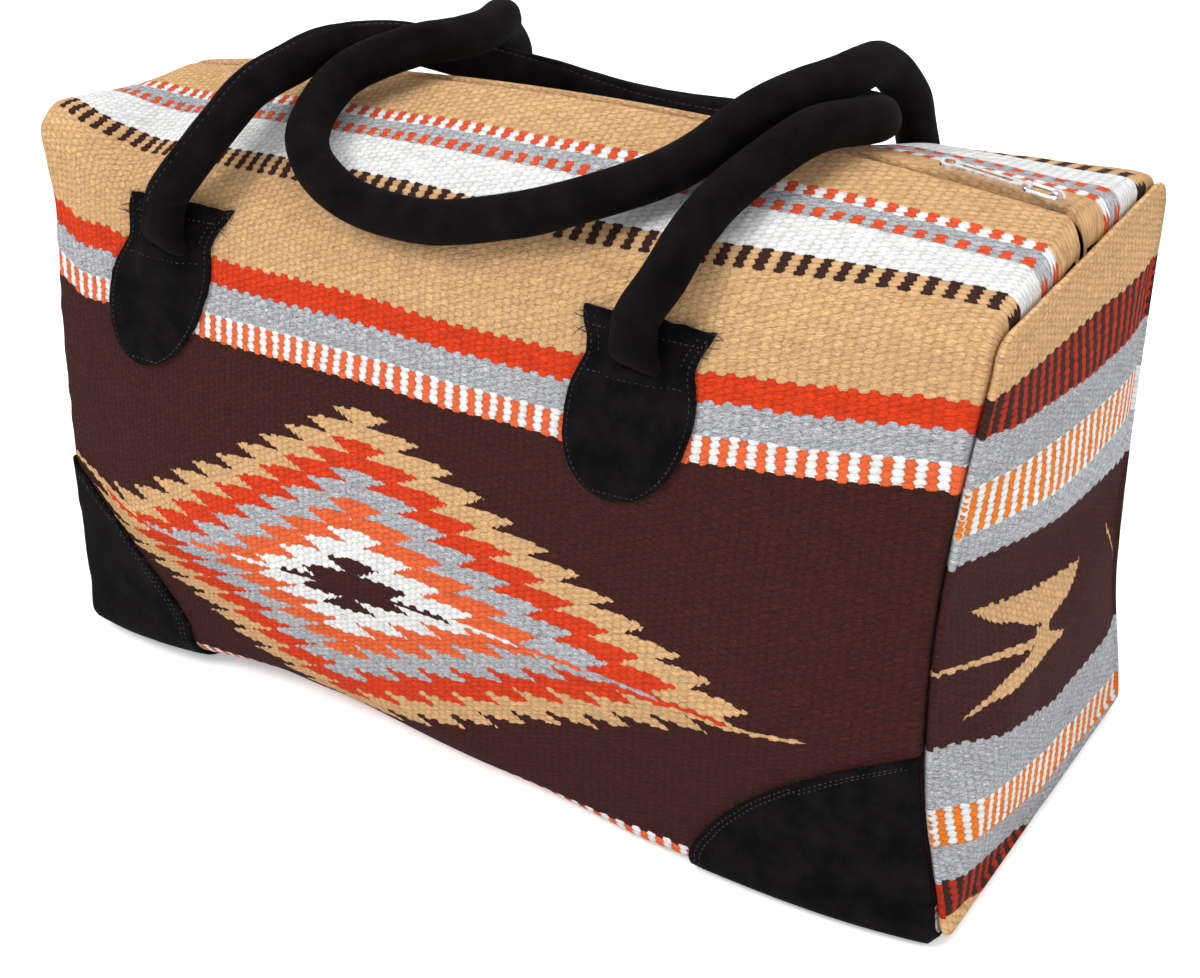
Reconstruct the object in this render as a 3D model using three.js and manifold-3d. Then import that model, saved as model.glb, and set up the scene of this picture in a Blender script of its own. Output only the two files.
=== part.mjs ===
// Travel bag of woven rug cloth with suede corners, suede shields and two rolled suede handles.
// Millimetres, +Z up. X runs along the bag, the front is at -Y, and the origin is under its middle on the floor.
import * as THREE from 'three';
import { mergeVertices } from 'three/addons/utils/BufferGeometryUtils.js';
import Module from 'manifold-3d';

const wasm = await Module();
wasm.setup();

// Overall form of the cloth
const BAG_LENGTH = 500;
const BASE_DEPTH = 218;
const SHOULDER_DEPTH = 186;
const END_SHOULDER_DEPTH = 200;
const SHOULDER_HEIGHT = 285;
const RIGHT_SHOULDER_RISE = 18;
const LEFT_CORNER_RISE = 33;
const LEFT_BACK_DROP = 10;
const MID_SHOULDER_RADIUS = 45;
const END_SHOULDER_RADIUS = 17;
const BASE_RADIUS = 20;
const END_BASE_RADIUS = 8;
const SLACK_BASE_RADIUS = 20;
const RIGHT_FOOT = 8;
const LEFT_FOOT_LIFT = 4;
const FLOOR_CONTACT_END = 95;
const FLOOR_LIFT_RUN = 32;
const FRONT_BELLY = 11;
const BACK_BELLY = 9;
const FACE_BOW = 6;
const BACK_HOLLOW = 10;

// The zip runs on a crowned line, an arc of a large circle
const ZIP_CROWN = 324;
const ZIP_RADIUS = 1653;
const ZIP_PEAK_X = 91;
const RIGHT_END_DIP = 14;
const LEFT_END_DIP = 10;
const END_DIP_RUN = 10;
const LEFT_DIP_RUN = 24;

// Seams at the two ends
const RIGHT_FRONT_PULL = 12;
const RIGHT_BACK_PULL = 3;
const LEFT_SEAM_PULL = -6;
const LEFT_TOP_FLARE = 8;
const RIGHT_BASE_FLARE = 7;
const BASE_FLARE_HEIGHT = 90;
const END_BULGE = 5;
const END_CREASE = 8;
const CREASE_HEIGHT = 150;
const CREASE_SLOPE = -0.28;
const CREASE_WIDTH = 20;

// Thicknesses and the clearance between touching pieces
const CLOTH = 3;
const SUEDE = 1.7;
const CLEARANCE = 0.3;
const PATCH_CLEARANCE = 0.9;
const SEAM_ALLOWANCE = 14;
const SEAM_CLOTH = 2;
const HEM_GAP = 2.2;
const HEM_TURN = 12;

// Suede corner patches
const CORNER_WIDTH = 115;
const LEFT_CORNER_WIDTH = 76;
const CORNER_HEIGHT = 88;
const CORNER_TURN_UNDER = 22;
const CORNER_ROUNDING = 1.47;

// Suede shields that hold the handle ends
const SHIELD_LENGTH = 88;
const SHIELD_TO_SLOT = 21;
const SHIELD_WAIST = 0.08;
const SLOT_WIDTH = 27;
const SLOT_HEIGHT = 10;
const STRAP_WIDTH = 22;
const STRAP_THICKNESS = 2.2;
const STRAP_LENGTH = 22;

// Rolled handles
const HANDLE_DIAMETER = 21;
const HANDLE_SIDES = 12;
const HINGE_Y = 107;
const HINGE_Z = 286;
const HINGE_CLEARANCE = 1;
const ROOT_LIFT = 14;
const ROOT_THICKNESS = 15.2;

// Zip
const TOOTH_PITCH = 9;
const TOOTH_LENGTH = 4.8;
const TOOTH_REACH = 0.7;
const TOOTH_ROOT = 2.6;
const TOOTH_THICKNESS = 1.8;
const TOOTH_DEPTH = 9.2;
const TAPE_WIDTH = 14;
const TAPE_THICKNESS = 0.9;
const SLIDER_FROM_SEAM = 17;
const SLIDER_LENGTH = 10;
const SLIDER_WIDTH = 8.4;
const SLIDER_PLATE = 1.2;
const SLIDER_BLADE = 0.8;
const LUG_THICKNESS = 2.4;
const LUG_RADIUS = 3.2;
const PULL_HEIGHT = 4.2;
const WIRE = 1.8;
const BAIL_LENGTH = 14;
const BAIL_WIDTH = 9.6;
const BAR_LENGTH = 32;
const BAR_WIDTH = 6;
const BAR_THICKNESS = 1.6;
const EYE_RADIUS = 4.6;
const STOP_LENGTH = 4;

const HALF_LENGTH = BAG_LENGTH / 2;
const BODY_END = HALF_LENGTH - CLOTH - CLEARANCE;
const HANDLE_RADIUS = HANDLE_DIAMETER / 2;
const SLIDER_X = HALF_LENGTH - SLIDER_FROM_SEAM;
const ZIP_RIGHT = SLIDER_X + SLIDER_LENGTH / 2 + CLEARANCE;
const ZIP_LEFT = -HALF_LENGTH + LEFT_DIP_RUN + STOP_LENGTH;
const FRONT = -1;
const BACK = 1;

const COLOURS = {
  tan: 0xc8a46e, white: 0xececea, grey: 0x9aa0aa, rust: 0xb03a1c, orange: 0xe24a1e,
  coral: 0xf0774a, brown: 0x33201c, peach: 0xf0a88c, suede: 0x110f10, metal: 0xc9ccd0, tape: 0x4a3c33,
};

// Woven stripes, each ending at a distance from the zip measured along the cloth
const STRIPES = [
  [28, 'tan'], [35, 'peach'], [45, 'grey'], [71, 'white'], [82, 'brown'],
  [130, 'tan'], [145, 'orange'], [159, 'grey'], [173, 'peach'],
];

// Rings of the woven diamond, from the outside in, as a share of its half width
const DIAMOND_X = -66;
const DIAMOND_BELOW_ZIP = 284;
const DIAMOND_HALF_WIDTH = 200;
const DIAMOND_HALF_HEIGHT = 98;
const DIAMOND_RINGS = [
  [1, 'tan'], [0.8, 'orange'], [0.62, 'grey'], [0.48, 'coral'], [0.34, 'white'], [0.18, 'brown'],
];

const clamp = THREE.MathUtils.clamp;

function ramp(from, to, value) {
  const t = clamp((value - from) / (to - from), 0, 1);
  return t * t * (3 - 2 * t);
}

function mix(a, b, t) {
  return a + (b - a) * t;
}

// Height of the zip line above the floor
function ridgeHeight(x) {
  const along = x - ZIP_PEAK_X;
  const arc = ZIP_CROWN - ZIP_RADIUS + Math.sqrt(ZIP_RADIUS ** 2 - along ** 2);
  const rightDip = RIGHT_END_DIP * ramp(HALF_LENGTH - END_DIP_RUN, HALF_LENGTH + 1, x);
  const leftDip = LEFT_END_DIP * ramp(-HALF_LENGTH + LEFT_DIP_RUN, -HALF_LENGTH, x);
  return arc - rightDip - leftDip;
}

// The cloth sags to the floor between the corner patches and stands on them at the ends
function baseHeight(x) {
  const overPatch = ramp(FLOOR_CONTACT_END, FLOOR_CONTACT_END + FLOOR_LIFT_RUN, Math.abs(x));
  return (SUEDE + PATCH_CLEARANCE) * overPatch + LEFT_FOOT_LIFT * ramp(-0.6, -1, x / HALF_LENGTH);
}

// Corners of half a cross-section, as distance from the zip plane and height, with their fillet radii
function halfSection(x, side) {
  const u = x / HALF_LENGTH;
  const edge = Math.abs(u);
  const hollow = side === BACK ? BACK_HOLLOW * ramp(-0.8, -0.6, u) * (1 - ramp(0.42, 0.6, u)) : 0;
  const shoulder = mix(SHOULDER_DEPTH, END_SHOULDER_DEPTH, u * u) / 2;
  const leftRise = side === FRONT ? LEFT_CORNER_RISE : -LEFT_BACK_DROP;
  const rise = RIGHT_SHOULDER_RISE * u + leftRise * ramp(-0.8, -1, u);
  const belly = side === FRONT ? FRONT_BELLY : BACK_BELLY;
  const foot = side === FRONT ? RIGHT_FOOT * ramp(0.1, 0.9, u) : 0;
  const base = BASE_DEPTH / 2 + belly * (1 - u ** 6) + foot;
  const endShare = ramp(0.55, 1, edge);
  const slack = side === FRONT ? SLACK_BASE_RADIUS * Math.exp(-(((u + 0.4) / 0.32) ** 2)) : 0;
  const baseShare = Math.max(endShare, ramp(0.1, 0.55, u));
  return {
    corners: [
      [0, ridgeHeight(x)],
      [shoulder, SHOULDER_HEIGHT + rise - hollow],
      [base, baseHeight(x)],
      [0, baseHeight(x)],
    ],
    radii: [
      mix(MID_SHOULDER_RADIUS, END_SHOULDER_RADIUS, endShare),
      mix(BASE_RADIUS, END_BASE_RADIUS, baseShare) + slack,
    ],
  };
}

// A path of straight runs and round corners, as points with their distance along it
function roundedPath(corners, radii, arcSteps = 10) {
  const points = [new THREE.Vector2(...corners[0])];
  const marks = [];
  radii.forEach((radius, k) => {
    const corner = new THREE.Vector2(...corners[k + 1]);
    const back = new THREE.Vector2(...corners[k]).sub(corner).normalize();
    const on = new THREE.Vector2(...corners[k + 2]).sub(corner).normalize();
    const half = Math.acos(clamp(back.dot(on), -1, 1)) / 2;
    const run = radius / Math.tan(half);
    const centre = back.clone().add(on).normalize().multiplyScalar(radius / Math.sin(half)).add(corner);
    const start = back.multiplyScalar(run).add(corner).sub(centre);
    const turn = -(Math.PI - 2 * half);
    marks.push(points.length, points.length + arcSteps);
    for (let i = 0; i <= arcSteps; i += 1) {
      points.push(start.clone().rotateAround(new THREE.Vector2(), (turn * i) / arcSteps).add(centre));
    }
  });
  points.push(new THREE.Vector2(...corners[corners.length - 1]));
  const distance = [0];
  for (let i = 1; i < points.length; i += 1) {
    distance.push(distance[i - 1] + points[i].distanceTo(points[i - 1]));
  }
  return { points, distance, marks: marks.map((i) => distance[i]), length: distance[distance.length - 1] };
}

const pathCache = new Map();

function sectionPath(x, side) {
  const key = `${x.toFixed(4)} ${side}`;
  if (!pathCache.has(key)) {
    const { corners, radii } = halfSection(x, side);
    pathCache.set(key, roundedPath(corners, radii));
  }
  return pathCache.get(key);
}

// How far the cloth at a seam is pulled along the bag from the straight end
function seamShift(x, side, z) {
  const wave = Math.sin(Math.PI * clamp(z / SHOULDER_HEIGHT, 0, 1));
  if (x < 0) {
    return LEFT_SEAM_PULL * wave - LEFT_TOP_FLARE * ramp(SHOULDER_HEIGHT - 45, SHOULDER_HEIGHT + 5, z);
  }
  const pull = side === FRONT ? RIGHT_FRONT_PULL : RIGHT_BACK_PULL;
  return RIGHT_BASE_FLARE * (1 - ramp(0, BASE_FLARE_HEIGHT, z)) - pull * wave;
}

// A point on the cloth: x along the bag, distance from the zip along the cloth, and lift off its outer face
function clothPoint(x, side, fromZip, lift = 0) {
  const path = sectionPath(x, side);
  const s = clamp(fromZip, 0, path.length);
  let i = path.distance.findIndex((d) => d >= s);
  i = clamp(i, 1, path.points.length - 1);
  const t = (s - path.distance[i - 1]) / (path.distance[i] - path.distance[i - 1]);
  const point = path.points[i - 1].clone().lerp(path.points[i], t);
  const before = Math.max(i - 1, 1);
  const after = Math.min(i + 1, path.points.length - 1);
  const mid = t < 0.5 ? before : after;
  const run = path.points[i].clone().sub(path.points[i - 1]).normalize();
  const next = path.points[mid].clone().sub(path.points[mid - 1]).normalize();
  run.lerp(next, Math.abs(t - 0.5)).lerp(new THREE.Vector2(1, 0), 1 - ramp(HEM_GAP, HEM_TURN, s)).normalize();
  const u = x / HALF_LENGTH;
  const level = clamp(point.y / SHOULDER_HEIGHT, 0, 1);
  const wave = Math.sin(Math.PI * level);
  const outside = ramp(0.5, 0.8, point.x / (BASE_DEPTH / 2));
  const bow = FACE_BOW * wave * (1 - u ** 6) * outside;
  const shift = seamShift(x, side, point.y) * Math.min(1, Math.abs(x) / BODY_END) ** 8;
  const out = new THREE.Vector2(-run.y, run.x).multiplyScalar(lift);
  return new THREE.Vector3(x + shift, side * (point.x + bow + out.x), point.y + out.y);
}

// A closed solid from two facing grids of points, outside[i][j] and inside[i][j]
function shellSolid(outside, inside) {
  const rows = outside.length;
  const columns = outside[0].length;
  const vertices = [...outside.flat(), ...inside.flat()];
  const a = (i, j) => i * columns + j;
  const b = (i, j) => rows * columns + i * columns + j;
  const quads = [];
  for (let i = 0; i < rows - 1; i += 1) {
    for (let j = 0; j < columns - 1; j += 1) {
      quads.push([a(i, j), a(i + 1, j), a(i + 1, j + 1), a(i, j + 1)]);
      quads.push([b(i, j), b(i, j + 1), b(i + 1, j + 1), b(i + 1, j)]);
    }
    const last = columns - 1;
    quads.push([a(i, 0), b(i, 0), b(i + 1, 0), a(i + 1, 0)]);
    quads.push([a(i, last), a(i + 1, last), b(i + 1, last), b(i, last)]);
  }
  for (let j = 0; j < columns - 1; j += 1) {
    const last = rows - 1;
    quads.push([a(0, j), a(0, j + 1), b(0, j + 1), b(0, j)]);
    quads.push([a(last, j), b(last, j), b(last, j + 1), a(last, j + 1)]);
  }
  const index = quads.flatMap(([p, q, r, s]) => [p, q, r, p, r, s]);
  const geometry = new THREE.BufferGeometry();
  geometry.setAttribute('position', new THREE.Float32BufferAttribute(vertices.flatMap((v) => [v.x, v.y, v.z]), 3));
  geometry.setIndex(index);
  return outward(geometry);
}

function signedVolume(geometry) {
  const position = geometry.getAttribute('position');
  const [p, q, r] = [new THREE.Vector3(), new THREE.Vector3(), new THREE.Vector3()];
  let volume = 0;
  for (let i = 0; i < geometry.index.count; i += 3) {
    p.fromBufferAttribute(position, geometry.index.getX(i));
    q.fromBufferAttribute(position, geometry.index.getX(i + 1));
    r.fromBufferAttribute(position, geometry.index.getX(i + 2));
    volume += p.dot(q.cross(r)) / 6;
  }
  return volume;
}

function outward(geometry) {
  if (signedVolume(geometry) < 0) {
    const { array } = geometry.index;
    for (let i = 0; i < array.length; i += 3) {
      [array[i + 1], array[i + 2]] = [array[i + 2], array[i + 1]];
    }
  }
  return geometry;
}

function weld(geometry) {
  const bare = geometry.clone();
  bare.deleteAttribute('normal');
  bare.deleteAttribute('uv');
  return outward(mergeVertices(bare, 1e-4));
}

function toManifold(geometry) {
  const welded = weld(geometry);
  return new wasm.Manifold(new wasm.Mesh({
    numProp: 3,
    vertProperties: new Float32Array(welded.getAttribute('position').array),
    triVerts: new Uint32Array(welded.index.array),
  }));
}

function fromManifold(solid) {
  const mesh = solid.getMesh();
  const geometry = new THREE.BufferGeometry();
  geometry.setAttribute('position', new THREE.BufferAttribute(new Float32Array(mesh.vertProperties), 3));
  geometry.setIndex([...mesh.triVerts]);
  return geometry;
}

function join(first, ...others) {
  return fromManifold(others.reduce((sum, geometry) => sum.add(toManifold(geometry)), toManifold(first)));
}

function cut(first, ...others) {
  return fromManifold(others.reduce((rest, geometry) => rest.subtract(toManifold(geometry)), toManifold(first)));
}

// Stations along the bag, closer together towards the ends, with one more where the ends dip
function stations(count = 20) {
  const even = Array.from({ length: count + 1 }, (_, i) => {
    const t = (2 * i) / count - 1;
    return BODY_END * (1.18 * t - 0.18 * t ** 3);
  });
  const dip = BODY_END - SEAM_ALLOWANCE / 2;
  return [...even, -dip, dip].sort((a, b) => a - b);
}

// Rows of the cloth from the zip hem to the middle of the base: the stripes, the face and the base corner
const TOP_ROWS = [HEM_GAP, 28, 45, 71, 82, 95, 108, 119, 130, 145, 159, 173];
const FACE_SHARES = [0.25, 0.5, 0.75, 1];
const CORNER_SHARES = [0.25, 0.5, 0.75, 1];
const BASE_SHARES = [0.5, 1];

function clothRows(x, side) {
  const { marks, length } = sectionPath(x, side);
  const last = TOP_ROWS[TOP_ROWS.length - 1];
  return [
    ...TOP_ROWS,
    ...FACE_SHARES.map((t) => mix(last, marks[2], t)),
    ...CORNER_SHARES.map((t) => mix(marks[2], marks[3], t)),
    ...BASE_SHARES.map((t) => mix(marks[3], length, t)),
  ];
}

// One full cross-section of cloth points, front hem to back hem round the base
function clothLoop(x, lift = 0) {
  const front = clothRows(x, FRONT).map((s) => clothPoint(x, FRONT, s, lift));
  const back = clothRows(x, BACK).map((s) => clothPoint(x, BACK, s, lift));
  return [...front, ...back.slice(0, -1).reverse()];
}

// Colour of the weave at a place on the cloth
function clothColour(x, side, fromZip) {
  const stripe = STRIPES.find(([end]) => fromZip < end);
  if (stripe) {
    return COLOURS[stripe[1]];
  }
  const across = Math.abs(x - DIAMOND_X) / DIAMOND_HALF_WIDTH;
  const down = Math.abs(fromZip - DIAMOND_BELOW_ZIP) / DIAMOND_HALF_HEIGHT;
  const rings = side === FRONT ? DIAMOND_RINGS.filter(([share]) => across + down < share) : [];
  return COLOURS[rings.length ? rings[rings.length - 1][1] : 'brown'];
}

// Gives each face of a cloth solid the colour of the weave under it
function colourFaces(geometry, colourAt) {
  const flat = geometry.toNonIndexed();
  const position = flat.getAttribute('position');
  const colours = new Float32Array(position.count * 3);
  const centre = new THREE.Vector3();
  const corner = new THREE.Vector3();
  for (let i = 0; i < position.count; i += 3) {
    centre.set(0, 0, 0);
    for (let k = 0; k < 3; k += 1) {
      centre.add(corner.fromBufferAttribute(position, i + k));
    }
    const colour = new THREE.Color(colourAt(centre.divideScalar(3), i / 3));
    for (let k = 0; k < 3; k += 1) {
      colour.toArray(colours, (i + k) * 3);
    }
  }
  flat.setAttribute('color', new THREE.BufferAttribute(colours, 3));
  return flat;
}

function material(colour, roughness, metalness = 0, vertexColors = false) {
  return new THREE.MeshStandardMaterial({ color: colour, roughness, metalness, vertexColors });
}

const bag = new THREE.Group();

function add(name, geometry, surface, parent = bag) {
  const mesh = new THREE.Mesh(geometry, surface);
  mesh.name = name;
  parent.add(mesh);
  return mesh;
}

const WEAVE = material(0xffffff, 0.95, 0, true);
const SUEDE_SURFACE = material(COLOURS.suede, 0.95);
const METAL = material(COLOURS.metal, 0.25, 1);
const TAPE = material(COLOURS.tape, 0.9);

// The woven cloth: one sheet from the front hem over the front, the base and the back to the back hem
function bodyPanel() {
  const xs = stations();
  const solid = shellSolid(xs.map((x) => clothLoop(x)), xs.map((x) => clothLoop(x, -CLOTH)));
  return colourFaces(solid, (centre) => {
    const side = centre.y < 0 ? FRONT : BACK;
    const path = sectionPath(centre.x, side);
    const section = new THREE.Vector2(Math.abs(centre.y), centre.z);
    const nearest = path.points.reduce((best, p, i) => (
      p.distanceTo(section) < path.points[best].distanceTo(section) ? i : best), 0);
    const before = path.points[Math.max(nearest - 1, 0)];
    const run = path.points[Math.max(nearest, 1)].clone().sub(before).normalize();
    const past = section.clone().sub(path.points[nearest]).dot(run);
    return clothColour(centre.x, side, path.distance[nearest] + past);
  });
}

// Depth of the end panel's face outside its seam line, with the fold pressed into the right one
function endSwell(end, y, z, share) {
  const fold = (z - CREASE_HEIGHT - CREASE_SLOPE * y) / CREASE_WIDTH;
  const crease = end > 0 ? END_CREASE * Math.exp(-(fold ** 2)) : 0;
  return (END_BULGE - crease) * (1 - share ** 3);
}

// A dished end panel with its seam allowance turned into the bag
function endPanel(end) {
  const outline = clothLoop(end * HALF_LENGTH);
  const centre = new THREE.Vector3(0, 0, (ZIP_CROWN + baseHeight(HALF_LENGTH)) / 2);
  const shares = [1, 0.84, 0.5];
  const ring = (share, depth) => outline.map((p) => {
    const y = mix(centre.y, p.y, share);
    const z = mix(centre.z, p.z, share);
    return new THREE.Vector3(p.x * end + endSwell(end, y, z, share) - depth, y, z).multiply(
      new THREE.Vector3(end, 1, 1));
  });
  const plate = discSolid(shares.map((t) => ring(t, 0)), shares.map((t) => ring(t, CLOTH)));
  return join(plate, seamAllowance(end));
}

// A closed plate from rings of points that shrink towards a middle, outside and inside
function discSolid(outside, inside) {
  const count = outside[0].length;
  const middle = (ring) => ring.reduce((sum, p) => sum.add(p), new THREE.Vector3()).divideScalar(ring.length);
  const vertices = [...outside.flat(), ...inside.flat()];
  const top = vertices.length;
  vertices.push(middle(outside[outside.length - 1]), middle(inside[inside.length - 1]));
  const a = (i, j) => i * count + (j % count);
  const b = (i, j) => outside.length * count + a(i, j);
  const index = [];
  for (let j = 0; j < count; j += 1) {
    for (let i = 0; i < outside.length - 1; i += 1) {
      index.push(a(i, j), a(i, j + 1), a(i + 1, j + 1), a(i, j), a(i + 1, j + 1), a(i + 1, j));
      index.push(b(i, j), b(i + 1, j + 1), b(i, j + 1), b(i, j), b(i + 1, j), b(i + 1, j + 1));
    }
    const last = outside.length - 1;
    index.push(a(last, j), a(last, j + 1), top);
    index.push(b(last, j + 1), b(last, j), top + 1);
    index.push(a(0, j), b(0, j + 1), a(0, j + 1), a(0, j), b(0, j), b(0, j + 1));
  }
  const geometry = new THREE.BufferGeometry();
  geometry.setAttribute('position', new THREE.Float32BufferAttribute(vertices.flatMap((v) => [v.x, v.y, v.z]), 3));
  geometry.setIndex(index);
  return outward(geometry);
}

// The strip of end cloth that is sewn in under the body's edge, open where the zip passes
function seamAllowance(end) {
  const outer = -(CLOTH + CLEARANCE);
  const covered = stations().filter((x) => x * end > BODY_END - SEAM_ALLOWANCE - CLEARANCE);
  const strip = (lift) => {
    const loop = (x) => clothLoop(x, lift).slice(1, -1);
    const root = loop(end * HALF_LENGTH).map((p) => new THREE.Vector3(p.x - (end * CLOTH) / 2, p.y, p.z));
    return end > 0 ? [...covered.map(loop), root] : [root, ...covered.map(loop)];
  };
  return shellSolid(strip(outer), strip(outer - SEAM_CLOTH));
}

// Suede patch round a bottom corner: a rounded triangle on the face that turns under the base
function cornerPatch(end, side) {
  const shares = [0.12, 0.3, 0.5, 0.68, 0.82, 0.92, 1];
  const columns = 5;
  const narrow = 4;
  const widest = end > 0 ? CORNER_WIDTH : LEFT_CORNER_WIDTH;
  const rows = (marks) => [
    marks[3] + CORNER_TURN_UNDER,
    ...[...CORNER_SHARES].reverse().map((t) => mix(marks[2], marks[3], t)),
    marks[2],
    ...shares.map((t) => marks[2] - CORNER_HEIGHT * t),
  ];
  const level = [...Array(CORNER_SHARES.length + 2).fill(0), ...shares];
  const grid = (lift) => level.map((share, i) => {
    const width = Math.max(narrow, widest * (1 - share ** CORNER_ROUNDING) ** (1 / CORNER_ROUNDING));
    return Array.from({ length: columns + 1 }, (_, j) => {
      const x = end * (BODY_END - (width * j) / columns);
      return clothPoint(x, side, rows(sectionPath(x, side).marks)[i], lift);
    });
  });
  return shellSolid(grid(PATCH_CLEARANCE + SUEDE), grid(PATCH_CLEARANCE));
}

// Each shield: side of the bag, slot middle along the bag, slot distance from the zip, half width, lean
const SHIELDS = {
  front_left: { side: FRONT, x: -0.696 * HALF_LENGTH, slot: 124, half: 27, lean: -0.27 },
  front_right: { side: FRONT, x: 0.352 * HALF_LENGTH, slot: 136, half: 31, lean: -0.14 },
  back_left: { side: BACK, x: -0.468 * HALF_LENGTH, slot: 132, half: 29, lean: -0.2 },
  back_right: { side: BACK, x: 0.496 * HALF_LENGTH, slot: 134, half: 29, lean: -0.05 },
};

function shieldPoint(shield, down, across, lift) {
  return clothPoint(shield.x + across + shield.lean * down, shield.side, shield.slot + down, lift);
}

// Suede shield: a raw-edged tab on top, a waist, a round foot, and a slot for the handle strap
function handleShield(shield) {
  const downs = [-SHIELD_TO_SLOT, -SLOT_HEIGHT, 0, 8, STRAP_LENGTH + 1, STRAP_LENGTH + 10, 43, 53, 60, 64.5, 67];
  const columns = 6;
  const round = 0.34;
  const halfWidth = (t) => {
    const waist = 1 - SHIELD_WAIST * Math.exp(-(((t - 0.3) / 0.12) ** 2));
    const foot = t > 1 - round ? Math.sqrt(1 - Math.min(0.985, ((t - 1 + round) / round) ** 2)) : 1;
    return shield.half * waist * foot;
  };
  const raised = (down, j) => {
    const over = down >= 0 && down < STRAP_LENGTH + 2;
    const inside = j > 0 && j < columns;
    return over && inside ? STRAP_THICKNESS + CLEARANCE : 0;
  };
  const grid = (extra) => downs.map((down) => {
    const half = halfWidth((down + SHIELD_TO_SLOT) / SHIELD_LENGTH);
    return Array.from({ length: columns + 1 }, (_, j) => {
      const across = half * ((2 * j) / columns - 1);
      return shieldPoint(shield, down, across, PATCH_CLEARANCE + raised(down, j) + extra);
    });
  });
  const slot = slotCutter(shield);
  return cut(shellSolid(grid(SUEDE), grid(0)), slot);
}

function slotCutter(shield) {
  const reach = 12;
  const rows = [-SLOT_HEIGHT, 1.6];
  const grid = (lift) => rows.map((down) => [-1, 1].map((k) => (
    shieldPoint(shield, down, (k * SLOT_WIDTH) / 2, lift))));
  return shellSolid(grid(reach), grid(-CLEARANCE));
}

// A tube of changing oval section through a list of stations
function ovalLoft(sections, sides = HANDLE_SIDES) {
  const rings = sections.map(({ at, along, half, thick }) => {
    const width = new THREE.Vector3(1, 0, 0).projectOnPlane(along).normalize();
    const depth = along.clone().cross(width).normalize();
    return Array.from({ length: sides }, (_, j) => {
      const angle = (2 * Math.PI * j) / sides;
      return at.clone().addScaledVector(width, half * Math.cos(angle)).addScaledVector(depth, thick * Math.sin(angle));
    });
  });
  const vertices = rings.flat();
  const index = [];
  for (let i = 0; i < rings.length - 1; i += 1) {
    for (let j = 0; j < sides; j += 1) {
      const next = (j + 1) % sides;
      const [p, q, r, s] = [i * sides + j, i * sides + next, (i + 1) * sides + next, (i + 1) * sides + j];
      index.push(p, q, r, p, r, s);
    }
  }
  const last = (rings.length - 1) * sides;
  for (let j = 1; j < sides - 1; j += 1) {
    index.push(0, j + 1, j, last, last + j, last + j + 1);
  }
  const geometry = new THREE.BufferGeometry();
  geometry.setAttribute('position', new THREE.Float32BufferAttribute(vertices.flatMap((v) => [v.x, v.y, v.z]), 3));
  geometry.setIndex(index);
  return outward(geometry);
}

// The sewn end of a handle: a flat strap under the shield that comes out of the slot and swells to the roll
function handleEnd(shield, top) {
  const flat = STRAP_THICKNESS / 2;
  const under = PATCH_CLEARANCE + flat;
  const places = [
    { at: shieldPoint(shield, STRAP_LENGTH, 0, under), half: STRAP_WIDTH / 2, thick: flat },
    { at: shieldPoint(shield, 0.5, 0, under), half: STRAP_WIDTH / 2, thick: flat },
    { at: shieldPoint(shield, -4, 0, under + 1.8), half: STRAP_WIDTH / 2, thick: 1.4 },
    { at: shieldPoint(shield, -SLOT_HEIGHT, 0, 8.4), half: STRAP_WIDTH / 2, thick: 3.6 },
    { at: shieldPoint(shield, -SHIELD_TO_SLOT + 3, 0, ROOT_LIFT), half: HANDLE_RADIUS, thick: ROOT_THICKNESS / 2 },
    { at: top.at.clone(), half: HANDLE_RADIUS, thick: HANDLE_RADIUS },
  ];
  const sections = places.map((place, i) => {
    const before = places[Math.max(i - 1, 0)].at;
    const after = places[Math.min(i + 1, places.length - 1)].at;
    const along = i === places.length - 1 ? top.along : after.clone().sub(before).normalize();
    return { ...place, along };
  });
  return ovalLoft(sections);
}

// Half length of the bag that the routes of the rolls were laid out on
const ROUTE_HALF_LENGTH = 250;

// Routes of the two rolls. The front one falls to the back and the back one falls over it to the front
const FRONT_ROUTE = [
  [-154, -102, 292], [-150, -86, 304], [-150, -60, 314], [-146, -35, 318], [-140, -14, 321], [-124, 25, 315],
  [-102, 60, 298], [-74, 88, 284], [-33, 101, 275], [11, 103, 276], [53, 100, 283], [88, 86, 300], [115, 60, 315],
  [135, 32, 326], [140, 14, 332], [127, -21, 336], [107, -55, 318], [104, -84, 309], [101, -102, 295],
];
const BACK_ROUTE = [
  [-109, HINGE_Y, HINGE_Z], [-104, 88, 306], [-92, 70, 319], [-84, 45, 323], [-82, 18, 327], [-90, -8, 330],
  [-116, -31, 317], [-111, -69, 300], [-77, -92, 289], [-32, -95, 286], [11, -91, 296], [50, -80, 310],
  [78, -48, 320], [100, -15, 339], [120, 23, 345], [121, 64, 338], [124, 91, 314], [123, HINGE_Y, HINGE_Z],
];

function routeCurve(route, start = [], end = []) {
  const along = HALF_LENGTH / ROUTE_HALF_LENGTH;
  const points = [...start, ...route.map(([x, y, z]) => new THREE.Vector3(x * along, y, z)), ...end];
  return new THREE.CatmullRomCurve3(points, false, 'centripetal');
}

// Where the roll of the front handle begins, just above the top edge of its shield
function rollRoot(shield) {
  return shieldPoint(shield, -SHIELD_TO_SLOT - 1, 0, HANDLE_RADIUS + SUEDE + 2 * PATCH_CLEARANCE);
}

function rollAlong(curve, steps) {
  const circle = new THREE.Shape();
  circle.absarc(0, 0, HANDLE_RADIUS, 0, 2 * Math.PI);
  return new THREE.ExtrudeGeometry(circle, { steps, curveSegments: HANDLE_SIDES / 2, extrudePath: curve });
}

function ball(at) {
  return new THREE.SphereGeometry(HANDLE_RADIUS, HANDLE_SIDES, 8).translate(at.x, at.y, at.z);
}

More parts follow.
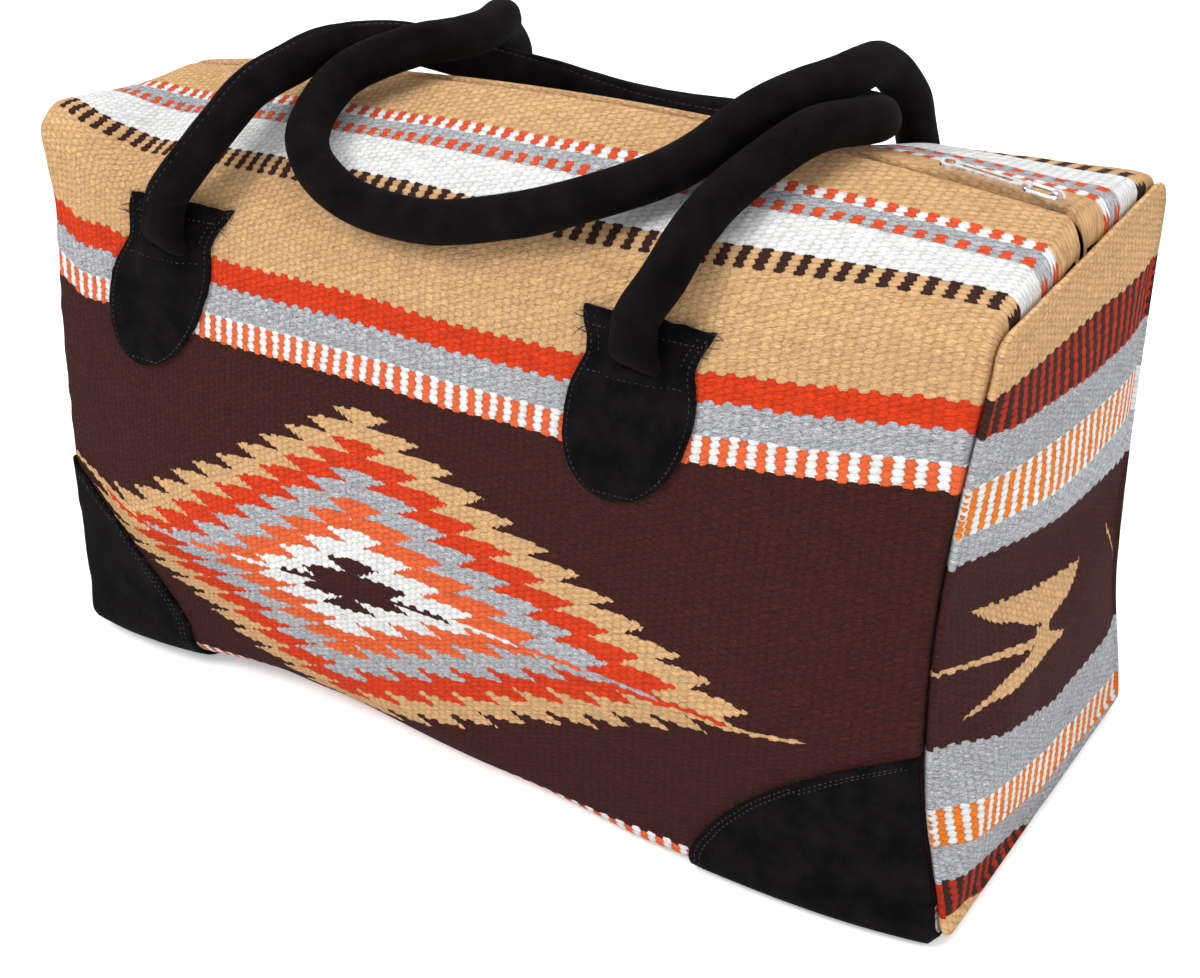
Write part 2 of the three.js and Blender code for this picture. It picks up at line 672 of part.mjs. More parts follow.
function endOf(curve, share) {
  const along = curve.getTangentAt(share).multiplyScalar(share === 0 ? 1 : -1);
  return { at: curve.getPointAt(share).addScaledVector(along, -CLEARANCE), along };
}

// The hinge of the back handle lies above its sewn ends, where the roll bends over the shoulder
function belowHinge(point, shield) {
  const foot = shieldPoint(shield, -10, 0, 9);
  const along = point.clone().sub(foot).normalize();
  return { at: point.clone().addScaledVector(along, -(HANDLE_RADIUS + HINGE_CLEARANCE)), along };
}

function addHandles() {
  const front = routeCurve(FRONT_ROUTE, [rollRoot(SHIELDS.front_left)], [rollRoot(SHIELDS.front_right)]);
  const back = routeCurve(BACK_ROUTE);
  add('front_handle', weld(rollAlong(front, 48)), SUEDE_SURFACE);
  const hinges = [back.getPointAt(0), back.getPointAt(1)];
  add('back_handle', join(rollAlong(back, 48), ...hinges.map(ball)), SUEDE_SURFACE);
  add('front_handle_end_left', handleEnd(SHIELDS.front_left, endOf(front, 0)), SUEDE_SURFACE);
  add('front_handle_end_right', handleEnd(SHIELDS.front_right, endOf(front, 1)), SUEDE_SURFACE);
  add('back_handle_end_left', handleEnd(SHIELDS.back_left, belowHinge(hinges[0], SHIELDS.back_left)), SUEDE_SURFACE);
  add('back_handle_end_right', handleEnd(SHIELDS.back_right, belowHinge(hinges[1], SHIELDS.back_right)), SUEDE_SURFACE);
}

// Zip tape under one hem: thin, with its edge dropped to the teeth
function zipTape(side) {
  const xs = stations().filter((x) => x > ZIP_LEFT - 2 * STOP_LENGTH && x < ZIP_RIGHT + STOP_LENGTH);
  const edge = (x, down) => new THREE.Vector3(
    x, side * (TOOTH_ROOT + CLEARANCE), ridgeHeight(x) - TOOTH_DEPTH + TOOTH_THICKNESS - down);
  const under = -(CLOTH + 2 * PATCH_CLEARANCE);
  const grid = (down) => [
    xs.map((x) => edge(x, down)),
    xs.map((x) => clothPoint(x, side, TAPE_WIDTH, under - down)),
  ];
  return shellSolid(grid(0), grid(TAPE_THICKNESS));
}

// One row of zip teeth on its cord, as a comb that follows the crown
function zipTeeth(side) {
  const shape = new THREE.Shape();
  const offset = side === FRONT ? 0 : TOOTH_PITCH / 2;
  const count = Math.floor((ZIP_RIGHT - ZIP_LEFT - TOOTH_PITCH) / TOOTH_PITCH);
  const start = ZIP_LEFT + TOOTH_PITCH / 4 + offset;
  shape.moveTo(start - 1, TOOTH_ROOT);
  for (let i = 0; i < count; i += 1) {
    const x = start + i * TOOTH_PITCH;
    shape.lineTo(x, TOOTH_ROOT - 1);
    shape.lineTo(x, TOOTH_REACH);
    shape.lineTo(x + TOOTH_LENGTH, TOOTH_REACH);
    shape.lineTo(x + TOOTH_LENGTH, TOOTH_ROOT - 1);
  }
  shape.lineTo(start + (count - 1) * TOOTH_PITCH + TOOTH_LENGTH + 1, TOOTH_ROOT);
  for (let i = count - 1; i > 0; i -= 1) {
    shape.lineTo(start + i * TOOTH_PITCH, TOOTH_ROOT);
  }
  const geometry = new THREE.ExtrudeGeometry(shape, { depth: TOOTH_THICKNESS, bevelEnabled: false });
  const position = geometry.getAttribute('position');
  for (let i = 0; i < position.count; i += 1) {
    const x = position.getX(i);
    position.setXYZ(i, x, position.getY(i) * side, position.getZ(i) + ridgeHeight(x) - TOOTH_DEPTH);
  }
  return weld(geometry);
}

function zipStop(x) {
  const block = new THREE.BoxGeometry(STOP_LENGTH - 2 * CLEARANCE, 2 * TOOTH_ROOT, TOOTH_THICKNESS);
  return block.translate(x, 0, ridgeHeight(x) - TOOTH_DEPTH + TOOTH_THICKNESS / 2);
}

// The slider: plates above and below the teeth, a blade between the rows and a lug through the hem gap
function zipSlider() {
  const upperBottom = -(TOOTH_DEPTH - TOOTH_THICKNESS) + CLEARANCE;
  const lowerTop = -TOOTH_DEPTH - TAPE_THICKNESS - CLEARANCE;
  const box = (width, depth, low, high, x = 0) => new THREE.BoxGeometry(width, depth, high - low)
    .translate(x, 0, (low + high) / 2);
  const upper = box(SLIDER_LENGTH, SLIDER_WIDTH, upperBottom, upperBottom + SLIDER_PLATE);
  const lower = box(SLIDER_LENGTH, SLIDER_WIDTH, lowerTop - SLIDER_PLATE, lowerTop);
  const blade = box(SLIDER_LENGTH * 0.6, SLIDER_BLADE, lowerTop - 0.2, upperBottom + 0.2);
  const neck = box(SLIDER_LENGTH * 0.7, LUG_THICKNESS, upperBottom + 0.2, PULL_HEIGHT, 0);
  const lug = new THREE.CylinderGeometry(LUG_RADIUS, LUG_RADIUS, LUG_THICKNESS, 16).translate(0, 0, PULL_HEIGHT);
  const hole = new THREE.CylinderGeometry(WIRE / 2 + CLEARANCE, WIRE / 2 + CLEARANCE, 2 * LUG_THICKNESS, 12)
    .translate(0, 0, PULL_HEIGHT);
  return cut(join(upper, lower, blade, neck, lug), hole);
}

// The wire loop that hangs in the slider's lug and holds the bar
function pullBail() {
  const path = new THREE.CurvePath();
  const halfWidth = (BAIL_WIDTH - WIRE) / 2;
  const corner = 2.4;
  const outline = new THREE.Path();
  outline.moveTo(-corner, halfWidth);
  outline.lineTo(-BAIL_LENGTH + corner, halfWidth);
  outline.absarc(-BAIL_LENGTH + corner, halfWidth - corner, corner, Math.PI / 2, Math.PI, false);
  outline.lineTo(-BAIL_LENGTH, -halfWidth + corner);
  outline.absarc(-BAIL_LENGTH + corner, -halfWidth + corner, corner, Math.PI, 1.5 * Math.PI, false);
  outline.lineTo(-corner, -halfWidth);
  outline.absarc(-corner, -halfWidth + corner, corner, 1.5 * Math.PI, 2 * Math.PI, false);
  outline.lineTo(0, halfWidth - corner);
  outline.absarc(-corner, halfWidth - corner, corner, 0, Math.PI / 2, false);
  const points = outline.getSpacedPoints(40).map((p) => new THREE.Vector3(p.x, p.y, 0));
  points.pop();
  path.add(new THREE.CatmullRomCurve3(points, true));
  const sides = 8;
  const count = points.length;
  const rings = points.map((p, i) => {
    const along = points[(i + 1) % count].clone().sub(points[(i + count - 1) % count]).normalize();
    const across = new THREE.Vector3(-along.y, along.x, 0);
    return Array.from({ length: sides }, (_, j) => {
      const angle = (2 * Math.PI * j) / sides;
      return p.clone().addScaledVector(across, (WIRE / 2) * Math.cos(angle))
        .add(new THREE.Vector3(0, 0, (WIRE / 2) * Math.sin(angle)));
    });
  });
  const index = [];
  for (let i = 0; i < count; i += 1) {
    for (let j = 0; j < sides; j += 1) {
      const p = i * sides + j;
      const q = i * sides + ((j + 1) % sides);
      const r = ((i + 1) % count) * sides + ((j + 1) % sides);
      const s = ((i + 1) % count) * sides + j;
      index.push(p, q, r, p, r, s);
    }
  }
  const geometry = new THREE.BufferGeometry();
  geometry.setAttribute('position', new THREE.Float32BufferAttribute(rings.flat().flatMap((v) => [v.x, v.y, v.z]), 3));
  geometry.setIndex(index);
  return outward(geometry);
}

// The flat slotted bar: a rolled knuckle on the bail, a long slot and a round eye at its free end
function pullBar() {
  const half = BAR_WIDTH / 2;
  const knuckle = WIRE / 2 + CLEARANCE;
  const barrel = new THREE.CylinderGeometry(knuckle + 1.1, knuckle + 1.1, BAIL_WIDTH - 3 * WIRE, 14)
    .translate(-BAIL_LENGTH, 0, 0);
  const bore = new THREE.CylinderGeometry(knuckle, knuckle, BAIL_WIDTH, 12).translate(-BAIL_LENGTH, 0, 0);
  const plate = new THREE.Shape();
  const start = -BAIL_LENGTH - knuckle - 0.6;
  const end = start - BAR_LENGTH;
  plate.moveTo(start, -1.9);
  plate.lineTo(start - 2, -half);
  plate.lineTo(end, -half);
  plate.absarc(end - 2, 0, EYE_RADIUS, -0.7, 0.7, true);
  plate.lineTo(end, half);
  plate.lineTo(start - 2, half);
  plate.lineTo(start, 1.9);
  const slot = new THREE.Path();
  slot.moveTo(start - 5, -1);
  slot.lineTo(start - 5, 1);
  slot.lineTo(end + 4, 1);
  slot.lineTo(end + 4, -1);
  plate.holes.push(slot);
  const eye = new THREE.Path();
  eye.absarc(end - 2, 0, EYE_RADIUS - 2, 0, 2 * Math.PI, false);
  plate.holes.push(eye);
  const bar = new THREE.ExtrudeGeometry(plate, { depth: BAR_THICKNESS, bevelEnabled: false, curveSegments: 7 })
    .translate(0, 0, -BAR_THICKNESS / 2);
  return cut(join(bar, barrel), bore);
}

function addZip() {
  for (const [name, side] of [['front', FRONT], ['back', BACK]]) {
    add(`zip_tape_${name}`, zipTape(side), TAPE);
    add(`zip_teeth_${name}`, zipTeeth(side), METAL);
  }
  add('zip_stop_left', zipStop(ZIP_LEFT - STOP_LENGTH / 2), METAL);
  add('zip_stop_right', zipStop(ZIP_RIGHT + STOP_LENGTH / 2), METAL);
  const slider = new THREE.Group();
  slider.position.set(SLIDER_X, 0, ridgeHeight(SLIDER_X));
  slider.rotation.y = Math.asin((SLIDER_X - ZIP_PEAK_X) / ZIP_RADIUS);
  add('zip_slider', zipSlider(), METAL, slider);
  const pull = new THREE.Group();
  pull.position.set(0, 0, PULL_HEIGHT);
  add('zip_pull_bail', pullBail(), METAL, pull);
  add('zip_pull_bar', pullBar(), METAL, pull);
  slider.add(pull);
  bag.add(slider);
}

add('body_panel', bodyPanel(), WEAVE);
for (const [name, end] of [['left', -1], ['right', 1]]) {
  add(`end_panel_${name}`, endPanel(end), material(COLOURS.brown, 0.95));
  for (const [face, side] of [['front', FRONT], ['back', BACK]]) {
    add(`corner_patch_${face}_${name}`, cornerPatch(end, side), SUEDE_SURFACE);
  }
}
for (const [name, shield] of Object.entries(SHIELDS)) {
  add(`handle_patch_${name}`, handleShield(shield), SUEDE_SURFACE);
}
addHandles();
addZip();

export default bag;
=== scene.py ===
import math
from functools import partialmethod

import bpy
import numpy as np
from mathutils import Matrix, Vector


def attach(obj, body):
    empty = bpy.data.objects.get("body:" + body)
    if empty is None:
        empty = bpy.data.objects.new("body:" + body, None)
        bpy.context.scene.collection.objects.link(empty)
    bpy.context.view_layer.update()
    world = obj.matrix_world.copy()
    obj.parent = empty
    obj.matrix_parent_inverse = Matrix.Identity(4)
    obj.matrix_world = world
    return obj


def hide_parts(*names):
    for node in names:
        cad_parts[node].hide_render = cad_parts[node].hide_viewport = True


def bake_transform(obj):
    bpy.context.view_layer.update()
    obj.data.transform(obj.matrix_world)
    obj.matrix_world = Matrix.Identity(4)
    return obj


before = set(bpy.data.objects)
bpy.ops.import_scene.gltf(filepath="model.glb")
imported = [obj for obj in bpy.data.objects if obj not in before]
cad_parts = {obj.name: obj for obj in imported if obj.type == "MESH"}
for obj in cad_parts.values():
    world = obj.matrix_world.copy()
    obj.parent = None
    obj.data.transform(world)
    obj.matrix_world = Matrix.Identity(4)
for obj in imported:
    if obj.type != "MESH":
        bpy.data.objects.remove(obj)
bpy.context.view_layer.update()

# Millimetres here, metres in Blender. The bag's form repeats the CAD source.
MM = 0.001
HALF = 250.0
BODY_END = 246.7
BASE_DEPTH = 218.0
SHOULDER_HEIGHT = 285.0
ZIP_CROWN, ZIP_RADIUS, ZIP_PEAK_X = 324.0, 1653.0, 91.0
HEM_GAP = 2.2
HEM_RADIUS = 3.4
SUEDE = 1.7
PATCH_CLEARANCE = 0.9
PATCH_TOP, FRAY_LIFT = PATCH_CLEARANCE + SUEDE, PATCH_CLEARANCE + 1
CORNER_WIDTH, LEFT_CORNER_WIDTH, CORNER_HEIGHT = 115.0, 76.0, 88.0
CORNER_TURN_UNDER, CORNER_ROUNDING, LEFT_CORNER_ROUNDING = 22.0, 1.47, 1.08
SHIELD_LENGTH, SHIELD_TO_SLOT = 88.0, 21.0
SLOT_HEIGHT = 10.0
STRAP_WIDTH, STRAP_THICKNESS, STRAP_LENGTH = 22.0, 2.2, 22.0
HANDLE_RADIUS = 10.5
ROOT_LIFT = 14.0
SEAM_PITCH, SEAM_STITCH = 4.0, (2.6, 0.8, 0.7)
FRONT, BACK = -1, 1
BAG_MIDDLE = (0.0, 0.0, 150.0)

SHIELDS = {
    "front_left": (FRONT, -174.0, 124.0, 27.0, -0.27),
    "front_right": (FRONT, 88.0, 136.0, 31.0, -0.14),
    "back_left": (BACK, -117.0, 132.0, 29.0, -0.2),
    "back_right": (BACK, 124.0, 134.0, 29.0, -0.05),
}
FRONT_ROUTE = [
    (-154, -102, 292), (-150, -86, 304), (-150, -60, 314), (-146, -35, 318), (-140, -14, 321),
    (-124, 25, 315), (-102, 60, 298), (-74, 88, 284), (-33, 101, 275), (11, 103, 276), (53, 100, 283),
    (88, 86, 300), (115, 60, 315), (135, 32, 326), (140, 14, 332), (127, -21, 336), (107, -55, 318),
    (104, -84, 309), (101, -102, 295),
]
BACK_ROUTE = [
    (-109, 107, 286), (-104, 88, 306), (-92, 70, 319), (-84, 45, 323), (-82, 18, 327), (-90, -8, 330),
    (-116, -31, 317), (-111, -69, 300), (-77, -92, 289), (-32, -95, 286), (11, -91, 296), (50, -80, 310),
    (78, -48, 320), (100, -15, 339), (120, 23, 345), (121, 64, 338), (124, 91, 314), (123, 107, 286),
]

CAMERA_AT, CAMERA_TARGET, CAMERA_LENS = (0.544, -0.8992, 0.7351), (0.008, 0, 0.1086), 71.7
WORLD_COLOUR, WORLD_STRENGTH, FLOOR_GLOW = (0.86, 0.88, 0.92, 1), 0.84, 0.3
LAMPS = [  # name, place, target, size in metres, power in watts
    ("key", (-0.9, -1.5, 1.9), (0, 0, 0.15), 1.1, 38),
    ("top", (0.3, 0.3, 2.2), (0, 0, 0.2), 1.6, 18),
    ("fill", (1.9, -0.6, 1.0), (0.1, 0, 0.15), 1.2, 14),
]

random = np.random.default_rng(7)


def mix(a, b, t):
    return a + (b - a) * t


def ramp(a, b, value):
    t = np.clip((np.asarray(value, float) - a) / (b - a), 0, 1)
    return t * t * (3 - 2 * t)


def bump(value, width):
    return np.exp(-((value / width) ** 2))


def lattice(ix, iy, seed):
    h = np.sin(ix * 127.1 + iy * 311.7 + seed * 74.7) * 43758.5453
    return h - np.floor(h)


def noise2(x, y, seed):
    """Smooth noise between -1 and 1 with one feature per unit of x and y."""
    x, y = np.broadcast_arrays(np.asarray(x, float), np.asarray(y, float))
    ix, iy = np.floor(x), np.floor(y)
    fx, fy = x - ix, y - iy
    fx, fy = fx * fx * (3 - 2 * fx), fy * fy * (3 - 2 * fy)
    low = mix(lattice(ix, iy, seed), lattice(ix + 1, iy, seed), fx)
    high = mix(lattice(ix, iy + 1, seed), lattice(ix + 1, iy + 1, seed), fx)
    return 2 * mix(low, high, fy) - 1


# The form of the cloth

def ridge(x):
    arc = ZIP_CROWN - ZIP_RADIUS + np.sqrt(ZIP_RADIUS ** 2 - (x - ZIP_PEAK_X) ** 2)
    return arc - 14 * ramp(HALF - 10, HALF + 1, x) - 10 * ramp(-HALF + 24, -HALF, x)


def section(x, side, arc=16):
    """Half a cross-section: distance from the zip, points (y, z), outward normals, and the fillet marks."""
    u = x / HALF
    front = side == FRONT
    hollow = 0 if front else 10 * float(ramp(-0.8, -0.6, u)) * (1 - float(ramp(0.42, 0.6, u)))
    rise = 18 * u + (33 if front else -10) * float(ramp(-0.8, -1, u))
    foot = 8 * float(ramp(0.1, 0.9, u)) if front else 0
    base = BASE_DEPTH / 2 + (11 if front else 9) * (1 - u ** 6) + foot
    share = float(ramp(0.55, 1, abs(u)))
    slack = 20 * math.exp(-(((u + 0.4) / 0.32) ** 2)) if front else 0
    floor = (SUEDE + PATCH_CLEARANCE) * float(ramp(95, 127, abs(x))) + 4 * float(ramp(-0.6, -1, u))
    shoulder = (mix(186, 200, u * u) / 2, SHOULDER_HEIGHT + rise - hollow)
    corners = np.array([(0, float(ridge(x))), shoulder, (base, floor), (0, floor)], float)
    radii = (mix(45, 17, share), mix(20, 8, max(share, float(ramp(0.1, 0.55, u)))) + slack)
    points, normals, marks = [corners[0]], [None], []
    for k, radius in enumerate(radii):
        corner = corners[k + 1]
        a = (corners[k] - corner) / np.linalg.norm(corners[k] - corner)
        b = (corners[k + 2] - corner) / np.linalg.norm(corners[k + 2] - corner)
        half = np.arccos(np.clip(a @ b, -1, 1)) / 2
        centre = corner + (a + b) / np.linalg.norm(a + b) * radius / np.sin(half)
        start = corner + a * radius / np.tan(half) - centre
        marks.append(len(points))
        for t in np.linspace(0, -(np.pi - 2 * half), arc + 1):
            c, s = np.cos(t), np.sin(t)
            turned = np.array([start[0] * c - start[1] * s, start[0] * s + start[1] * c])
            points.append(centre + turned)
            normals.append(turned / radius)
        marks.append(len(points) - 1)
    points.append(corners[3])
    normals.append(normals[-1])
    normals[0] = normals[1]
    points = np.array(points)
    s = np.r_[0, np.cumsum(np.hypot(*np.diff(points, axis=0).T))]
    return s, points, np.array(normals), [s[m] for m in marks]


class Cloth:
    """One side of the bag's cloth, from the zip to the middle of the base, as tables over x and distance."""

    SAMPLES = 420

    def __init__(self, side):
        self.side = side
        self.xs = np.linspace(-HALF, HALF, 251)
        rows, self.length, self.marks = [], [], []
        for x in self.xs:
            s, points, normals, marks = section(x, side)
            at = np.linspace(0, s[-1], self.SAMPLES)
            rows.append(np.stack([np.interp(at, s, c) for c in (*points.T, *normals.T)], -1))
            self.length.append(s[-1])
            self.marks.append(marks)
        self.table = np.array(rows)
        self.length = np.array(self.length)
        self.marks = np.array(self.marks)

    def mark(self, x, k):
        return np.interp(x, self.xs, self.marks[:, k])

    def total(self, x):
        return np.interp(x, self.xs, self.length)

    def dent(self, x, s):
        """Height in mm of the slack and the seam puckers of the sewn cloth."""
        seed = 3 if self.side == FRONT else 11
        free = ramp(6, 34, s) * (1 - ramp(-14, 4, s - self.mark(x, 2)))
        slack = 1.5 * noise2(x / 74, s / 62, seed) + 0.55 * noise2(x / 27, s / 23, seed + 1)
        edge = BODY_END - np.abs(x)
        pucker = (0.5 + 0.5 * noise2(s / 8, np.sign(x), seed + 2)) * bump(edge, 8) * 1.2
        shoulder = 0.7 * noise2(x / 13, s / 30, seed + 3) * bump(s - self.mark(x, 1) - 6, 16)
        return free * (slack - pucker + shoulder - 0.7)

    def roll(self, x):
        """The cloth turns in at both ends to meet the end panel's seam."""
        past = np.clip(np.abs(x) - (BODY_END - 4), 0, 4)
        return np.sqrt(np.maximum(16 - past ** 2, 0)) - 4

    def at(self, x, s, lift=0.0):
        """Points on the slack cloth, lifted off it by some mm."""
        return self.plain(x, s, lift + self.dent(x, s) + self.roll(x))

    def plain(self, x, s, lift=0.0):
        """Points on the cloth as it would lie without slack and puckers."""
        x, s, lift = np.broadcast_arrays(*(np.asarray(v, float) for v in (x, s, lift)))
        fx = np.clip((x + HALF) / 2, 0, 249.999)
        ix = fx.astype(int)
        tx = (fx - ix)[..., None]
        length = self.total(x)
        ft = np.clip(s / length, 0, 1) * (self.SAMPLES - 1.001)
        it = ft.astype(int)
        tt = (ft - it)[..., None]
        rows = self.table
        here = mix(rows[ix, it], rows[ix, it + 1], tt)
        value = mix(here, mix(rows[ix + 1, it], rows[ix + 1, it + 1], tt), tx)
        y, z, ny, nz = np.moveaxis(value, -1, 0)
        flat = 1 - ramp(HEM_GAP, 12, s)
        ny, nz = mix(ny, 0, flat), mix(nz, 1, flat)
        size = np.hypot(ny, nz)
        wave = np.sin(np.pi * np.clip(z / SHOULDER_HEIGHT, 0, 1))
        u = x / HALF
        bow = 6 * wave * (1 - u ** 6) * ramp(0.5, 0.8, y / (BASE_DEPTH / 2))
        left = -6 * wave - 8 * ramp(240, 290, z)
        right = 7 * (1 - ramp(0, 90, z)) - (12 if self.side == FRONT else 3) * wave
        shift = np.where(x < 0, left, right) * np.minimum(1, np.abs(x) / BODY_END) ** 8
        return np.stack([x + shift, self.side * (y + bow + ny / size * lift), z + nz / size * lift], -1)


SIDES = {FRONT: Cloth(FRONT), BACK: Cloth(BACK)}


# Meshes

def new_piece(name, vertices, faces, surface, body="bag", uv=None, slot=None, inside=None):
    """A mesh object from points in mm. Where inside is given, the faces are turned away from that point."""
    vertices = np.asarray(vertices, float)
    if inside is not None:
        a, b, c = (vertices[faces[:, k]] for k in (0, 1, 2))
        away = np.einsum("ij,ij->i", np.cross(b - a, c - a), a - np.asarray(inside, float))
        if away.sum() < 0:
            faces = faces[:, ::-1]
    mesh = bpy.data.meshes.new(name)
    mesh.from_pydata((vertices * MM).tolist(), [], faces.tolist() if isinstance(faces, np.ndarray) else faces)
    mesh.polygons.foreach_set("use_smooth", np.full(len(mesh.polygons), True))
    if uv is not None:
        layers = uv if isinstance(uv, dict) else {"weave": uv}
        loops = np.empty(len(mesh.loops), np.int32)
        mesh.loops.foreach_get("vertex_index", loops)
        for title, values in layers.items():
            layer = mesh.uv_layers.new(name=title)
            layer.data.foreach_set("uv", np.asarray(values, np.float32)[loops].ravel())
    mesh.update()
    piece = bpy.data.objects.new(name, mesh)
    bpy.context.scene.collection.objects.link(piece)
    mesh.materials.append(surface)
    if body:
        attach(piece, body)
    return piece


def grid_faces(rows, columns, close_columns=False):
    """Quads of a grid of points stored row after row."""
    across = np.arange(columns if close_columns else columns - 1)
    i, j = np.meshgrid(np.arange(rows - 1), across, indexing="ij")
    k = (j + 1) % columns
    quads = np.stack([i * columns + j, (i + 1) * columns + j, (i + 1) * columns + k, i * columns + k], -1)
    return quads.reshape(-1, 4)


def plate(outside, inside, keep):
    """Points and quads of a thin closed sheet: both faces of the kept cells, and a rim at each open edge."""
    rows, columns, _ = outside.shape
    count = rows * columns
    at = np.arange(count).reshape(rows, columns)
    a, b, c, d = at[:-1, :-1], at[1:, :-1], at[1:, 1:], at[:-1, 1:]
    cells = np.stack([a, b, c, d], -1)[keep]
    faces = [cells, cells[:, ::-1] + count]
    padded = np.pad(keep, 1)
    here = padded[1:-1, 1:-1]
    for ends, gone in (((a, b), padded[1:-1, :-2]), ((b, c), padded[2:, 1:-1]),
                       ((c, d), padded[1:-1, 2:]), ((d, a), padded[:-2, 1:-1])):
        open_edge = here & ~gone
        p, q = ends[0][open_edge], ends[1][open_edge]
        faces.append(np.stack([p, p + count, q + count, q], -1))
    return np.concatenate([outside.reshape(-1, 3), inside.reshape(-1, 3)]), np.concatenate(faces)


class Beads:
    """Many small rounded stitches in one mesh."""

    def __init__(self):
        self.vertices, self.faces, self.count = [], [], 0
        ring = np.linspace(0, 2 * np.pi, 7)[:-1]
        steps = [(-1, 0.35), (-0.62, 0.85), (0, 1), (0.62, 0.85), (1, 0.35)]
        self.template = np.array([(t, r * math.cos(a), r * math.sin(a)) for t, r in steps for a in ring])
        caps = [(0, 1, 2, 3), (0, 3, 4, 5), (24, 27, 26, 25), (24, 29, 28, 27)]
        self.quads = np.concatenate([grid_faces(5, 6, True), np.array(caps)])

    def add(self, centre, along, normal, length, width, height):
        along = along / np.linalg.norm(along)
        across = np.cross(normal, along)
        across /= np.linalg.norm(across)
        up = np.cross(along, across)
        t = self.template
        self.put(centre + t[:, :1] * along * length / 2 + t[:, 1:2] * across * width / 2
                 + t[:, 2:] * up * height / 2, self.quads)

    def put(self, points, quads):
        self.vertices.append(points)
        self.faces.append(quads + self.count)
        self.count += len(points)

    def piece(self, name, surface, **kwargs):
        return new_piece(name, np.concatenate(self.vertices), np.concatenate(self.faces), surface, **kwargs)


class Threads(Beads):
    """Many loose thread ends in one mesh, each a thin tapering tube along a few points."""

    def add(self, points, radius):
        along = np.gradient(points, axis=0)
        along /= np.linalg.norm(along, axis=1)[:, None]
        side = np.cross(along, (0.3, 0.2, 0.93))
        side /= np.linalg.norm(side, axis=1)[:, None]
        up = np.cross(along, side)
        size = radius * np.linspace(1, 0.45, len(points))[:, None]
        ring = [points + size * (side * math.cos(a) + up * math.sin(a)) for a in (0, 2.094, 4.189)]
        self.put(np.stack(ring, 1).reshape(-1, 3), grid_faces(len(points), 3, True))


# Shader expressions

def feed(tree, value, socket):
    """Links a number or a node's output to an input, or sets the input to a plain value."""
    value = getattr(value, "socket", value)
    if isinstance(value, bpy.types.NodeSocket):
        tree.links.new(value, socket)
    else:
        socket.default_value = value


class Num:
    """A number in a node tree, so that formulas read as arithmetic."""

    def __init__(self, tree, socket):
        self.tree, self.socket = tree, socket

    def op(self, operation, *others):
        node = self.tree.nodes.new("ShaderNodeMath")
        node.operation = operation
        for k, value in enumerate((self, *others)):
            feed(self.tree, value, node.inputs[k])
        return Num(self.tree, node.outputs[0])

    def __rsub__(self, other):
        return (self * -1) + other

    __add__ = __radd__ = partialmethod(op, "ADD")
    __sub__ = partialmethod(op, "SUBTRACT")
    __mul__ = __rmul__ = partialmethod(op, "MULTIPLY")
    __truediv__ = partialmethod(op, "DIVIDE")
    floor = partialmethod(op, "FLOOR")
    fract = partialmethod(op, "FRACT")
    abs = partialmethod(op, "ABSOLUTE")
    below = partialmethod(op, "LESS_THAN")
    above = partialmethod(op, "GREATER_THAN")
    power = partialmethod(op, "POWER")
    low = partialmethod(op, "MINIMUM")
    high = partialmethod(op, "MAXIMUM")

    def choose(self, when_one, when_zero):
        """One of two numbers, by this 0 or 1."""
        return self * (when_one - when_zero) + when_zero


def srgb(colour):
    """Linear RGBA of an 0-255 sRGB colour."""
    c = np.array(colour, float) / 255
    linear = np.where(c <= 0.04045, c / 12.92, ((c + 0.055) / 1.055) ** 2.4)
    return (*linear.tolist(), 1.0)


